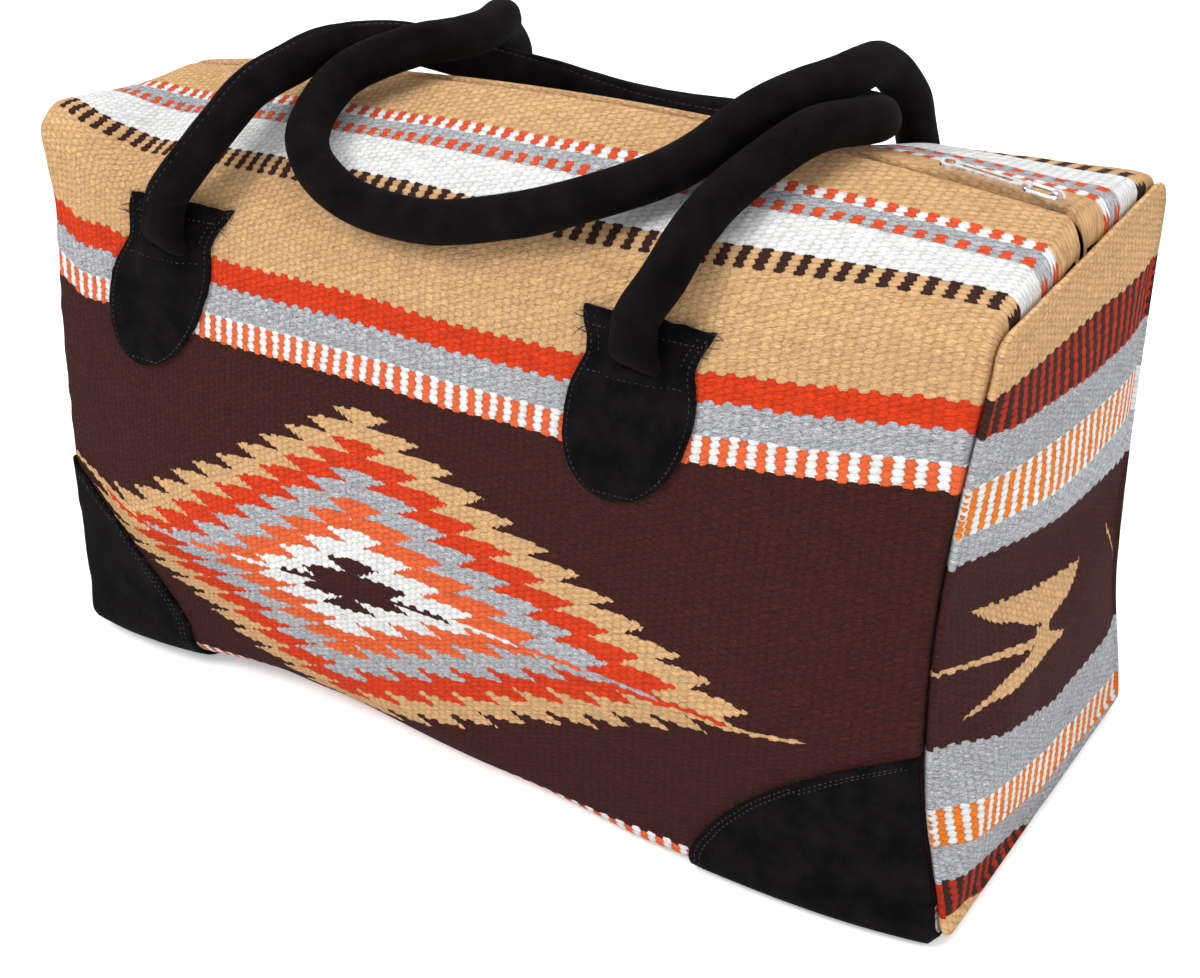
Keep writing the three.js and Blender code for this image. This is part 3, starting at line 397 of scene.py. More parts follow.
class Surface:
    """A material with a principled shader and helpers for building its node tree."""

    def __init__(self, name, roughness=0.9, metallic=0.0, specular=0.3, sheen=0.0, sheen_tint=(255,) * 3):
        self.material = bpy.data.materials.new(name)
        self.material.use_nodes = True
        self.tree = self.material.node_tree
        self.shader = self.tree.nodes["Principled BSDF"]
        for title, value in (
            ("Roughness", roughness), ("Metallic", metallic), ("Specular IOR Level", specular),
            ("Sheen Weight", sheen), ("Sheen Roughness", 0.45), ("Sheen Tint", srgb(sheen_tint)),
        ):
            self.shader.inputs[title].default_value = value

    def node(self, kind, **inputs):
        """A new shader node with some of its inputs linked or set."""
        made = self.tree.nodes.new("ShaderNode" + kind)
        for title, value in inputs.items():
            feed(self.tree, value, made.inputs[title])
        return made

    def parts(self, node):
        return tuple(Num(self.tree, socket) for socket in node.outputs)

    def uv(self, layer="weave"):
        node = self.node("UVMap")
        node.uv_map = layer
        return self.parts(self.node("SeparateXYZ", Vector=node.outputs[0]))[:2]

    def place(self):
        """Position in the object's own coordinates, in mm."""
        split = self.node("SeparateXYZ", Vector=self.node("TexCoord").outputs["Object"])
        return tuple(part * 1000 for part in self.parts(split))

    def vector(self, x, y, z):
        return self.node("CombineXYZ", X=x, Y=y, Z=z).outputs[0]

    def cells(self, *parts):
        """Three random numbers for each whole-numbered place."""
        node = self.node("TexWhiteNoise", Vector=self.vector(*parts))
        return self.parts(self.node("SeparateColor", Color=node.outputs["Color"]))

    def noise(self, parts, detail=2.0, roughness=0.5):
        """Smooth noise between 0 and 1 with one feature per unit of each part."""
        place = self.vector(*parts)
        node = self.node("TexNoise", Vector=place, Scale=1.0, Detail=detail, Roughness=roughness)
        return Num(self.tree, node.outputs[0])

    def bands(self, value, span, stops):
        """Colour of value in a list of (start, colour), as a stepped ramp."""
        node = self.node("ValToRGB", Fac=value / span)
        band = node.color_ramp
        band.interpolation = "CONSTANT"
        band.elements[0].position = 0.0
        band.elements[0].color = srgb(stops[0][1])
        band.elements[1].position = min(stops[1][0] / span, 1.0)
        band.elements[1].color = srgb(stops[1][1])
        for start, colour in stops[2:]:
            band.elements.new(min(start / span, 1.0)).color = srgb(colour)
        return node.outputs[0]

    def blend(self, factor, a, b):
        """Colour a where the factor is 0 and b where it is 1."""
        node = self.node("Mix")
        node.data_type = "RGBA"
        for key, value in ((0, factor), (6, a), (7, b)):
            feed(self.tree, srgb(value) if isinstance(value, tuple) else value, node.inputs[key])
        return node.outputs[2]

    def flecks(self, colour):
        """How much the fibres of a yarn differ: most in mid grey and in dark yarn, least in white."""
        node = self.node("SeparateColor", Color=colour)
        node.mode = "HSV"
        _, saturation, value = self.parts(node)
        grey = (1 - saturation * 4).high(0.0)
        return grey * value.below(0.7) * 1.5 - grey * value.above(0.7) * 0.55 + value.below(0.1) * 1.1

    def shade(self, colour, amount):
        """Colour times a number, which may exceed one."""
        node = self.node("VectorMath")
        node.operation = "SCALE"
        feed(self.tree, colour, node.inputs[0])
        feed(self.tree, amount, node.inputs["Scale"])
        return node.outputs[0]

    def finish(self, colour, height=None, depth=0.3, roughness=None):
        """Wires the colour, the relief (height times depth mm) and a roughness that varies."""
        feed(self.tree, colour, self.shader.inputs["Base Color"])
        if height is not None:
            node = self.node("Bump", Distance=depth * MM, Strength=1.0, Height=height)
            feed(self.tree, node.outputs[0], self.shader.inputs["Normal"])
        if roughness is not None:
            feed(self.tree, roughness, self.shader.inputs["Roughness"])
        return self.material


TAN = (219, 174, 123)
WHITE = (242, 241, 238)
GREY = (180, 180, 182)
RUST = (172, 44, 18)
ORANGE = (220, 62, 22)
CORAL = (236, 104, 56)
AMBER = (243, 128, 32)
DASH = (226, 84, 42)
BROWN = (62, 26, 20)
DARK = (58, 32, 25)
SPAN = 560.0

# Woven bands down the cloth from the zip: where each ends, and its two colours
BODY_BANDS = [
    (28, TAN, TAN), (35, DASH, WHITE), (40, GREY, GREY), (47, DASH, GREY), (72, WHITE, WHITE),
    (82, DARK, TAN), (130, TAN, TAN), (144, ORANGE, ORANGE), (158, GREY, GREY), (172, CORAL, WHITE),
    (386, BROWN, BROWN), (400, CORAL, WHITE), (414, GREY, GREY), (428, ORANGE, ORANGE), (SPAN, TAN, TAN),
]
END_BANDS = [
    (12, TAN, TAN), (28, RUST, DARK), (45, GREY, GREY), (65, AMBER, WHITE), (95, GREY, GREY),
    (190, BROWN, BROWN), (205, GREY, GREY), (228, AMBER, WHITE), (253, GREY, GREY), (272, RUST, DARK),
    (SPAN, TAN, TAN),
]
# How far the bands lie from true along the bag, as (x, shift), and where the lower stripes start
TOP_TRACK = [(-250, 8), (-230, 7), (-213, -5), (-163, -5), (-113, -1), (-62, 2), (-11, 6.7), (50, 7.8),
             (117, 3.4), (142, 0), (194, -3), (246, -5.4)]
MIDDLE_TRACK = [(-250, 2), (-63, 2.4), (60, 7), (156, 12), (250, 3)]
LOWER_TRACK = [(-250, 340), (-161, 349), (-108, 365), (-56, 369.7), (-2, 374), (62, 373), (104, 373),
               (144, 375), (250, 376)]
DIAMOND_X, DIAMOND_V, DIAMOND_ROW, DIAMOND_SLANT = -69.0, 285.0, 8.2, 0.07
DIAMOND_STEP_LEFT, DIAMOND_STEP_RIGHT, DIAMOND_SPIKE = 13.9, 18.8, 13.0
DIAMOND_TOP, DIAMOND_FOOT = 176.0, 384.0
WEAVE_ROW, WEAVE_BEAD = 4.7, 3.3
WEAVE_GATHER = (1.14, -0.0007, 0.9e-6)


def stops(bands, k):
    starts = [0.0] + [band[0] for band in bands[:-1]]
    return [(start, band[k]) for start, band in zip(starts, bands)]


def rug(name, bands, figure, gather=(1.0, 0.0, 0.0)):
    """Hand-woven rug cloth: rows of oval beads of yarn laid like bricks, each bead of one colour.

    Gather gives the factors of a cubic that draws the rows closer together towards one side."""
    s = Surface(name, roughness=0.94, specular=0.08, sheen=0.03)
    u0, v0 = s.uv()
    drift = s.noise((u0 / 38, v0 / 30, 0.0), 2.0)
    shiver = s.noise((u0 / 6, v0 / 4, 2.0), 1.0)
    ragged = s.noise((u0 / 1.4, v0 / 1.0, 6.0), 1.0)
    u = u0 + (drift - 0.5) * 3.2 + (shiver - 0.5) * 2.0 + (ragged - 0.5) * 1.5
    v = v0 + (drift - 0.5) * 2.0 + (shiver - 0.5) * 1.4 + (ragged - 0.5) * 1.0
    rib, bead, wide = WEAVE_ROW, WEAVE_BEAD, 2 * WEAVE_ROW
    laid = u * (gather[0] + u * (gather[1] + u * gather[2]))
    column_a, row_a = (laid / wide + 0.5).floor(), (v / bead + 0.5).floor()
    column_b, row_b = (laid / wide).floor(), (v / bead).floor()
    across_a, down_a = (laid - column_a * wide) / rib, (v - row_a * bead) / bead
    across_b, down_b = (laid - (column_b + 0.5) * wide) / rib, (v - (row_b + 0.5) * bead) / bead

    def reach(across, down):
        tilted = down + across * 0.16
        return across * across * 2.3 + tilted * tilted * 2.7

    far_a, far_b = reach(across_a, down_a), reach(across_b, down_b)
    odd = (far_a - far_b).above(0.0)
    far = far_a.low(far_b)
    column = odd.choose(column_b * 2 + 1, column_a * 2)
    row = odd.choose(row_b * 2 + 1, row_a * 2)
    vq = row * (bead / 2)
    one, two, _ = s.cells(column, row, 1.0)
    edge = vq * 0.55 + v * 0.45
    colour = s.blend(odd, s.bands(edge, SPAN, stops(bands, 1)), s.bands(edge, SPAN, stops(bands, 2)))
    colour = figure(s, u, edge, v, colour)
    strand = s.noise((u * 0.38, (v + u * 0.22) * 2.0, one * 4), 2.0, 0.6)
    strand = ((strand - 0.5) * 3.4).high(-1.0).low(1.0)
    hair = s.noise((u * 2.3, v * 4.2, 3.0), 2.0, 0.65)
    tuft = s.noise((u / 9, v / 7, 3.0), 2.0)
    body = (1 - far * (two * 0.35 + 1.0)).high(0.0).power(0.6)
    flecked = s.flecks(colour) + 1.0
    heather = (strand * 0.32 + (hair - 0.5) * 1.35) * flecked + (one - 0.5) * 0.12 + (tuft - 0.5) * 0.3 + 1.04
    relief = body * 0.62 + strand * 0.42 + (hair - 0.5) * 0.6
    # Painted shade: the colour is darkened where each bead's rounded height falls off, in the gaps between
    # beads and rows.
    colour = s.shade(colour, heather.high(0.15) * (body * 0.36 + 0.75))
    lint = s.noise((u * 0.55, v * 0.8, 13.0), 3.0, 0.75).above(0.735)
    colour = s.blend(lint * 0.4, colour, (176, 158, 142))
    return s.finish(colour, relief, depth=1.25)


def diamond(s, u, edge, v, colour):
    """Stepped rings of the woven diamond, and the two thin lines that run out of its tips."""
    dx = u - DIAMOND_X + (edge - DIAMOND_V) * DIAMOND_SLANT
    down = (edge - DIAMOND_V).abs()
    row = (down / DIAMOND_ROW).floor()
    f = (down / DIAMOND_ROW).fract()
    tooth = f.below(0.75).choose(f / 0.75, (1 - f) / 0.25)
    step = dx.above(0.0).choose(DIAMOND_STEP_RIGHT, DIAMOND_STEP_LEFT)
    m = (dx.abs() + DIAMOND_SPIKE * (1 - tooth)) / step + row
    line = (edge - DIAMOND_V - dx * 0.022).abs().below(1.3)
    m = m - line * 1.7
    rings = s.bands(m.high(0.0), 14.0, [
        (0, BROWN), (2, WHITE), (4, CORAL), (6, GREY), (8, ORANGE), (10, TAN), (12, BROWN)])
    inside = m.below(12.0) * edge.above(DIAMOND_TOP) * edge.below(DIAMOND_FOOT)
    return s.blend(inside, colour, rings)


def line_through(value, points):
    """A broken line through (x, y) points as a formula of value."""
    total = value * 0 + points[0][1]
    for (x0, y0), (x1, y1) in zip(points, points[1:]):
        run = x1 - x0
        total = total + (value - x0).high(0.0).low(run) * ((y1 - y0) / run)
    return total


def wings(s, u, edge, v, colour):
    """The tan wing figures woven into the dark band of an end panel."""
    y, z = s.uv("place")
    y, z = y + (u - s.uv()[0]), z + (edge - v)
    inside = None
    for top, low in (
        ([(-82, 160), (0, 134), (42, 123)], [(-82, 160), (-60, 144), (-8, 116), (12, 118), (42, 123)]),
        ([(-86, 107), (-50, 113), (-14, 115), (12, 102)], [(-86, 107), (-50, 104), (-14, 102), (12, 102)]),
        ([(-114, 144), (-20, 117)], [(-114, 142), (-20, 112)]),
        ([(-24, 122), (-8, 118)], [(-24, 112), (-8, 108)]),
        ([(85, 119), (100, 90)], [(85, 114), (100, 90)]),
    ):
        part = z.below(line_through(y, top)) * z.above(line_through(y, low))
        part = part * y.above(float(top[0][0])) * y.below(float(top[-1][0]))
        inside = part if inside is None else inside.high(part)
    return s.blend(inside, colour, TAN)


def suede(name, tone=(3, 3, 4), scuff=(27, 23, 24)):
    """Napped black suede: a fine velvety grain with soft brushed patches."""
    s = Surface(name, roughness=0.94, specular=0.05, sheen=0.025, sheen_tint=(120, 108, 108))
    u, v = s.uv()
    brushed = s.noise((u / 16, v / 16, 0.0), 4.0, 0.6)
    nap = s.noise((u * 2.6, v * 2.6, 5.0), 4.0, 0.7)
    pores = s.noise((u * 0.9, v * 0.9, 9.0), 3.0, 0.6)
    amount = (brushed * 1.7 + nap * 0.8 - 1.0).high(0.0).low(1.0)
    colour = s.blend(amount, tone, scuff)
    height = nap * 0.55 + pores * 0.5 + brushed * 0.5
    return s.finish(colour, height, depth=0.5, roughness=nap * 0.16 + 0.8)


def thread(name, tone, light):
    s = Surface(name, roughness=0.8, specular=0.2, sheen=0.2)
    x, y, z = s.place()
    grain = s.noise((x * 3, y * 3, z * 3), 3.0)
    patchy = s.noise((x * 0.35, y * 0.35, z * 0.35), 1.0)
    return s.finish(s.blend((patchy * 2.2 - 0.6).high(0.0).low(1.0), tone, light), grain, depth=0.1)


def metal(name, tone=(232, 233, 236), painted_reflection=(138, 136, 134)):
    s = Surface(name, roughness=0.2, metallic=1.0, specular=0.5)
    x, y, z = s.place()
    brushed = s.noise((x * 0.5, y * 5, z * 5), 3.0, 0.6)
    reflection_patches = s.noise((x * 0.4, y * 0.4, z * 0.4), 3.0, 0.6)
    # Painted reflection: darker patches in the metal's colour stand in for the dark surroundings that a
    # polished zip would mirror.
    colour = s.blend((reflection_patches * 2.4 - 1.1).high(0.0).low(1.0), tone, painted_reflection)
    return s.finish(colour, reflection_patches, depth=0.02, roughness=brushed * 0.14 + 0.1)


def tape(name):
    s = Surface(name, roughness=0.9, specular=0.15)
    x, y, _ = s.place()
    rib = ((x * 1.4).fract() - 0.5).abs() * 2
    twill = ((x * 1.4 + y * 1.9).fract() - 0.5).abs() * 2
    colour = s.blend(twill, (44, 33, 27), (78, 62, 50))
    return s.finish(colour, rib * 0.5 + twill * 0.5, depth=0.25)


RUG = rug("rug_cloth", BODY_BANDS, diamond, WEAVE_GATHER)
END_RUG = rug("end_cloth", END_BANDS, wings)
SUEDE_BLACK = suede("suede_black")
HANDLE_SUEDE = suede("handle_suede", (4, 3, 4), (25, 20, 21))
STITCH = thread("stitch_thread", (16, 14, 14), (66, 58, 54))
BLACK_THREAD = thread("black_thread", (12, 10, 10), (30, 26, 26))
METAL = metal("zip_metal")
TAPE = tape("zip_tape_weave")


# The woven cloth

def woven(x, s):
    """Woven coordinate of a place on the cloth, which takes up how the real bands run out of true."""
    top, middle, lower = (np.interp(x, *zip(*track)) for track in (TOP_TRACK, MIDDLE_TRACK, LOWER_TRACK))
    knots_v = (0.0, 130.0, 172.0, 285.0, 386.0, 560.0)
    knots_s = (0 * top, 130 + top, 172 + top, 285 + middle, lower, lower + 174)
    v = np.full(np.broadcast(x, s).shape, knots_v[0])
    for (v0, v1), (s0, s1) in zip(zip(knots_v, knots_v[1:]), zip(knots_s, knots_s[1:])):
        v = np.where(s >= s0, mix(v0, v1, (s - s0) / (s1 - s0)), v)
    return v


def body_shell():
    inner = BODY_END - 4
    run = np.arange(-inner, inner + 0.1, 2 * inner / 188)
    turn = inner + 4 * np.sin(np.radians([22, 45, 65, 80, 89]))
    xs = np.r_[-BODY_END, -turn[::-1], run, turn, BODY_END]
    tuck = np.where(np.abs(xs) == BODY_END, -5.0, 0.0)
    hem = np.radians(np.arange(200, 0, -18))
    loops, uvs = [], []
    start = HEM_GAP + HEM_RADIUS
    t = np.linspace(0, 1, 158)
    for side in (FRONT, BACK):
        cloth = SIDES[side]
        length = cloth.total(xs)[:, None]
        s = np.concatenate([
            np.broadcast_to(start - HEM_RADIUS * np.sin(hem), (len(xs), len(hem))),
            start + (length - start) * t], 1)
        lift = np.concatenate([HEM_RADIUS * (np.cos(hem) - 1), 0 * t])[None, :] + tuck[:, None]
        x = np.broadcast_to(xs[:, None], s.shape)
        loops.append(cloth.at(x, s, lift))
        around = s.copy()
        around[:, :len(hem)] = start - HEM_RADIUS * hem
        uvs.append(np.stack([loops[-1][..., 0], woven(x, np.maximum(around, 0))], -1))
    points = np.concatenate([loops[0], loops[1][:, -2::-1]], 1)
    uv = np.concatenate([uvs[0], uvs[1][:, -2::-1]], 1)
    rows, columns, _ = points.shape
    piece = new_piece("body_cloth", points.reshape(-1, 3), grid_faces(rows, columns), RUG, slot="rug_cloth",
                      uv=uv.reshape(-1, 2), inside=BAG_MIDDLE)
    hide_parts("body_panel")


def end_woven(y, z):
    """Woven coordinate on an end panel, whose bands fall towards the back."""
    nominal = [0, 12, 28, 45, 65, 95, 190, 205, 228, 253, 272, 420]
    front = [-6, 10, 28, 45, 65, 95, 190, 205, 228, 253, 272, 420]
    middle = [-30, -12, 2, 13, 38, 65, 168, 190, 217, 237, 265, 413]
    back = [-38, -18, -6, 8, 26, 57, 155, 180, 203, 228, 260, 408]
    t = np.clip((y + 90) / 90, -0.3, 1)
    r = np.clip(y / 75, 0, 1.5)
    total = np.zeros(np.broadcast(y, z).shape)
    edges = [mix(f, m, t) + (b - m) * r for f, m, b in zip(front, middle, back)]
    for k in range(len(nominal) - 1):
        low, high = edges[k], edges[k + 1]
        total = np.where(z >= low, mix(nominal[k], nominal[k + 1], (z - low) / (high - low)), total)
    return total


END_MIDDLE = (0.0, 163.0)
# Section of an end panel's rolled rim, as (lift off the outline, distance back from the end)
END_RIM = [(-6.0, 4.2), (-4.2, 3.2), (-2.2, 1.9), (-0.9, 0.8), (-0.2, -0.2), (-0.5, -1.2), (-1.6, -1.9)]


def end_face(end):
    """One end panel: a rolled rim along the end of the body cloth and a slack face inside it."""
    x = end * HALF
    outlines = []

    def outline(lift):
        parts = []
        for side in (FRONT, BACK):
            cloth = SIDES[side]
            s = np.linspace(HEM_GAP, cloth.total(x), 130)
            ruffle = 0.35 * noise2(s / 7, 0.5, 21 + side) * (1 - ramp(-14, 4, s - cloth.mark(x, 2)))
            parts.append(cloth.plain(np.full(s.shape, x), s, lift + ruffle * ramp(6, 20, s)))
        return np.concatenate([parts[0], parts[1][-2::-1]])

    tucked = 0.0 if end > 0 else 3.2
    level = -2.6 if end > 0 else -5.0
    edge = outline(level)
    edge[:, 0] += tucked
    for lift, back in END_RIM:
        ring = outline(level + lift)
        ring[:, 0] += tucked - end * back
        outlines.append(ring)
    for share in np.r_[0.965, 0.94, np.linspace(0.9, 0.05, 44)]:
        ring = edge.copy()
        ring[:, 1:] = mix(END_MIDDLE, edge[:, 1:], share)
        y, z = ring[:, 1], ring[:, 2]
        crease = 8 * bump((z - 150 + 0.28 * y) / 20, 1) if end > 0 else 0
        swell = ((5 if end > 0 else -1) - crease) * (1 - share ** 3)
        soft = 1.6 * noise2(y / 58, z / 46, 40 + end) + 0.5 * noise2(y / 22, z / 19, 44 + end)
        level_x = mix(edge[:, 0].mean(), edge[:, 0], share ** 1.5)
        ring[:, 0] = level_x + end * (swell + soft * (1 - share ** 6) - 0.5)
        outlines.append(ring)
    rows, columns = len(outlines), len(edge)
    points = np.array(outlines)
    vertices = np.concatenate([points.reshape(-1, 3), points[-1].mean(0)[None]])
    quads = grid_faces(rows, columns, True)
    last = (rows - 1) * columns
    faces = quads.tolist() + [[last + j, len(vertices) - 1, last + (j + 1) % columns] for j in range(columns)]
    a, b, c = (vertices[quads[:, k]] for k in (0, 1, 2))
    if np.cross(b - a, c - a)[:, 0].sum() * end < 0:
        faces = [face[::-1] for face in faces]
    y, z = vertices[:, 1], vertices[:, 2]
    uv = {"weave": np.stack([y, end_woven(y, z)], -1), "place": np.stack([y, z], -1)}
    name = "right" if end > 0 else "left"
    piece = new_piece("end_cloth_" + name, vertices, faces, END_RUG, uv=uv, slot="end_cloth")
    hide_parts("end_panel_" + name)


# Suede patches

def normal_at(cloth, x, s):
    here = cloth.at(x, s)
    a = cloth.at(x + 1, s) - here
    b = cloth.at(x, s + 1) - here
    n = np.cross(a, b)
    n /= np.linalg.norm(n)
    away = here - np.array(BAG_MIDDLE)
    return n if n @ away > 0 else -n


def suede_sheet(name, x, s, outside, inside, keep):
    """One patch of suede over the cloth, with rims where cells are not kept."""
    points, faces = plate(outside, inside, keep)
    uv = np.tile(np.stack([x, s], -1).reshape(-1, 2), (2, 1))
    return new_piece(name, points, faces, SUEDE_BLACK, uv=uv, slot="suede", inside=BAG_MIDDLE)


def sew(stitches, cloth, path, lift, pitch=2.9):
    """A row of stitches along a path of (x, s) places on the cloth."""
    path = np.asarray(path, float)
    run = np.r_[0, np.cumsum(np.hypot(*np.diff(path, axis=0).T))]
    for d in np.arange(pitch / 2, run[-1], pitch):
        x, s = np.interp(d, run, path[:, 0]), np.interp(d, run, path[:, 1])
        x2, s2 = np.interp(d + 0.5, run, path[:, 0]), np.interp(d + 0.5, run, path[:, 1])
        if abs(x2 - x) + abs(s2 - s) < 1e-6:
            continue
        height = lift(x, s) if callable(lift) else lift
        centre = cloth.at(x, s, height)
        along = cloth.at(x2, s2, height) - centre
        length = pitch * random.uniform(0.3, 0.62)
        stitches.add(centre, along, normal_at(cloth, x, s), length, random.uniform(0.34, 0.55), 0.36)


def fray(threads, cloth, path, out, lift, count, reach, thickness=0.13):
    """Loose thread ends along a raw edge: out is the direction off the edge in (x, s)."""
    path = np.asarray(path, float)
    for _ in range(count):
        t = random.uniform(0, len(path) - 1.001)
        k = int(t)
        at = mix(path[k], path[k + 1], t - k)
        away = np.asarray(out, float) + random.normal(0, 0.35, 2)
        away /= np.linalg.norm(away)
        curl = random.normal(0, 0.25)
        length = reach * random.uniform(0.3, 1.0)
        points = []
        for step in np.linspace(-0.25, 1, 6):
            bend = np.array([-away[1], away[0]]) * curl * step ** 2 * length
            place = at + away * step * length + bend
            points.append(cloth.at(place[0], place[1], lift + 0.5 * step + random.uniform(0, 0.25)))
        threads.add(np.array(points), thickness)


def corner_patch(end, side, stitches, threads):
    cloth = SIDES[side]
    shares = np.r_[np.zeros(12), np.linspace(0, 1, 46) ** 0.9]
    columns = np.linspace(0, 1, 42)
    level = np.minimum(shares, 0.9999)
    widest, curve = (CORNER_WIDTH, CORNER_ROUNDING) if end > 0 else (LEFT_CORNER_WIDTH, LEFT_CORNER_ROUNDING)
    edge = widest * (1 - level ** curve) ** (1 / curve)
    edge = np.maximum(edge, 3.0) + 0.5 * noise2(np.arange(len(shares)) / 3.1, 0.5, 60 + end + side)

    def grid(lift):
        x = end * (BODY_END - edge[:, None] * columns[None, :])
        low, high = cloth.mark(x, 2), cloth.mark(x, 3)
        under = np.linspace(high + CORNER_TURN_UNDER, low, 13)[:-1]
        face = low[None] - CORNER_HEIGHT * shares[12:, None, None]
        s = np.concatenate([np.stack([under[k][k] for k in range(12)]),
                            np.stack([face[k][12 + k] for k in range(len(shares) - 12)])])
        return x, s, cloth.at(x, s, lift)

    soft = 0.35 * bump(1 - columns, 0.05)[None, :]
    x, s, outside = grid(PATCH_TOP - soft)
    _, _, inside = grid(0.25)
    keep = np.ones((len(shares) - 1, len(columns) - 1), bool)
    name = f"{'front' if side == FRONT else 'back'}_{'right' if end > 0 else 'left'}"
    piece = suede_sheet("corner_suede_" + name, x, s, outside, inside, keep)
    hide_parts("corner_patch_" + name)
    seam = [(x[k, -1] + end * 3.2, s[k, -1] + (2.4 if k > 40 else 0)) for k in range(4, len(shares) - 1)]
    seam = [p for p in seam if abs(p[0]) < BODY_END - 2]
    for inset in (0, 2.6):
        sew(stitches, cloth, [(a + end * inset, b + 0.3 * inset) for a, b in seam], PATCH_TOP)
    rim = [(x[k, -1], s[k, -1]) for k in range(6, len(shares) - 1)]
    fray(threads, cloth, rim, (-end * 0.8, -0.6), FRAY_LIFT, 34, 3.2)


def shield_edge(t, half):
    waist = 1 - 0.13 * np.exp(-(((t - 0.22) / 0.12) ** 2)) + 0.04 * np.exp(-(((t - 0.5) / 0.16) ** 2))
    foot = np.where(t > 0.56, (1 - np.minimum(0.995, ((t - 0.56) / 0.44) ** 2.2)) ** 0.5, 1)
    return half * (waist + 0.07 * (1 - ramp(0.0, 0.14, t))) * foot


def over_strap(down, across):
    """How much the shield rises over the flat end of the handle that is sewn under it."""
    along = ramp(-2, 2, down) * (1 - ramp(STRAP_LENGTH - 8, STRAP_LENGTH + 3, down))
    fold = 0.9 * bump(down - 3.5, 2.6) - 0.8 * bump(down - 8, 2.0) + 0.7 * bump(down - 12, 3.0)
    rise = (STRAP_THICKNESS + 1.0 + fold) * along
    return rise * (1 - ramp(STRAP_WIDTH / 2 - 1, STRAP_WIDTH / 2 + 7, np.abs(across)))


def handle_shield(name, stitches, threads):
    side, x0, slot, half, lean = SHIELDS[name]
    cloth = SIDES[side]
    top, foot = -SHIELD_TO_SLOT, SHIELD_LENGTH - SHIELD_TO_SLOT
    downs = np.sort(np.r_[np.linspace(top, foot - 0.02, 56), -SLOT_HEIGHT, 1.6])
    cols = np.linspace(-1, 1, 37)
    share = (downs - top) / SHIELD_LENGTH
    wobble = 0.45 * noise2(downs / 4.5, 0.5, int(slot) + int(half))
    width = shield_edge(share, half) + wobble
    across = width[:, None] * cols[None, :]
    down = np.broadcast_to(downs[:, None], across.shape).copy()
    down[0] += 1.1 * noise2(cols * 6, 0.5, int(slot))
    x = x0 + across + lean * down
    s = slot + down
    rise = over_strap(down, across)
    outside = cloth.at(x, s, PATCH_TOP + rise - 0.4 * bump(1 - np.abs(cols), 0.07)[None, :])
    inside = cloth.at(x, s, 0.2 + rise)
    mid_down = (downs[:-1] + downs[1:])[:, None] / 2
    mid_across = (across[:-1, :-1] + across[1:, 1:]) / 2
    keep = ~((mid_down > -5) & (mid_down < 0.6) & (np.abs(mid_across) < STRAP_WIDTH / 2 - 4.5))
    piece = suede_sheet("shield_suede_" + name, x, s, outside, inside, keep)
    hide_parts("handle_patch_" + name)

    def spot(d, a):
        return x0 + a + lean * d, slot + d

    def lift(px, ps):
        d = ps - slot
        return PATCH_TOP + float(over_strap(d, px - x0 - lean * d))

    for inset, lowest, joined in ((2.4, foot - 1, True), (6.4, 4, False)):
        rows = np.linspace(top + 2.5, lowest - inset, 60)
        reach = np.maximum(shield_edge((rows - top) / SHIELD_LENGTH, half) - inset, 0.5)
        flanks = [[spot(d, -a) for d, a in zip(rows, reach)],
                  [spot(d, a) for d, a in zip(rows[::-1], reach[::-1])]]
        if joined:
            flanks = [flanks[0] + flanks[1]]
        for flank in flanks:
            sew(stitches, cloth, flank, lift)
    for d, reach in ((7.5, half - 6), (-SLOT_HEIGHT - 3.5, half - 4)):
        sew(stitches, cloth, [spot(d, -reach), spot(d, reach)], lift)
    rim = [spot(top + 0.5, a) for a in np.linspace(-half, half, 9)]
    fray(threads, cloth, rim, (0, -1), FRAY_LIFT, 60, 2.6)
    for k in (-1, 1):
        for d in (top + 0.5, top + 3, top + 9):
            ear = [spot(d + step, k * (half - 1)) for step in (0, 2, 3)]
            fray(threads, cloth, ear, (k, -0.25), FRAY_LIFT, 2, 7.5, 0.36)
    for k in (-1, 1):
        flank = [spot(d, k * float(shield_edge((d - top) / SHIELD_LENGTH, half)))
                 for d in np.linspace(top, 50, 16)]
        fray(threads, cloth, flank, (k, -0.1), FRAY_LIFT, 40, 1.6)


# Rolled handles

def smooth_route(points, count):
    """Evenly spaced points on a centripetal spline through the points."""
    p = np.asarray(points, float)
    p = np.concatenate([[2 * p[0] - p[1]], p, [2 * p[-1] - p[-2]]])
    out = []
    for k in range(1, len(p) - 2):
        p0, p1, p2, p3 = p[k - 1:k + 3]
        d0, d1, d2 = (np.linalg.norm(b - a) ** 0.5 for a, b in ((p0, p1), (p1, p2), (p2, p3)))
        m1 = ((p1 - p0) / d0 - (p2 - p0) / (d0 + d1) + (p2 - p1) / d1) * d1
        m2 = ((p2 - p1) / d1 - (p3 - p1) / (d1 + d2) + (p3 - p2) / d2) * d1
        t = np.linspace(0, 1, 40, endpoint=False)[:, None]
        square, cube = -3 * p1 + 3 * p2 - 2 * m1 - m2, 2 * p1 - 2 * p2 + m1 + m2
        out.append(p1 + m1 * t + square * t ** 2 + cube * t ** 3)
    out = np.concatenate(out + [p[-2:-1]])
    run = np.r_[0, np.cumsum(np.linalg.norm(np.diff(out, axis=0), axis=1))]
    at = np.linspace(0, run[-1], count)
    return np.stack([np.interp(at, run, out[:, k]) for k in range(3)], -1)


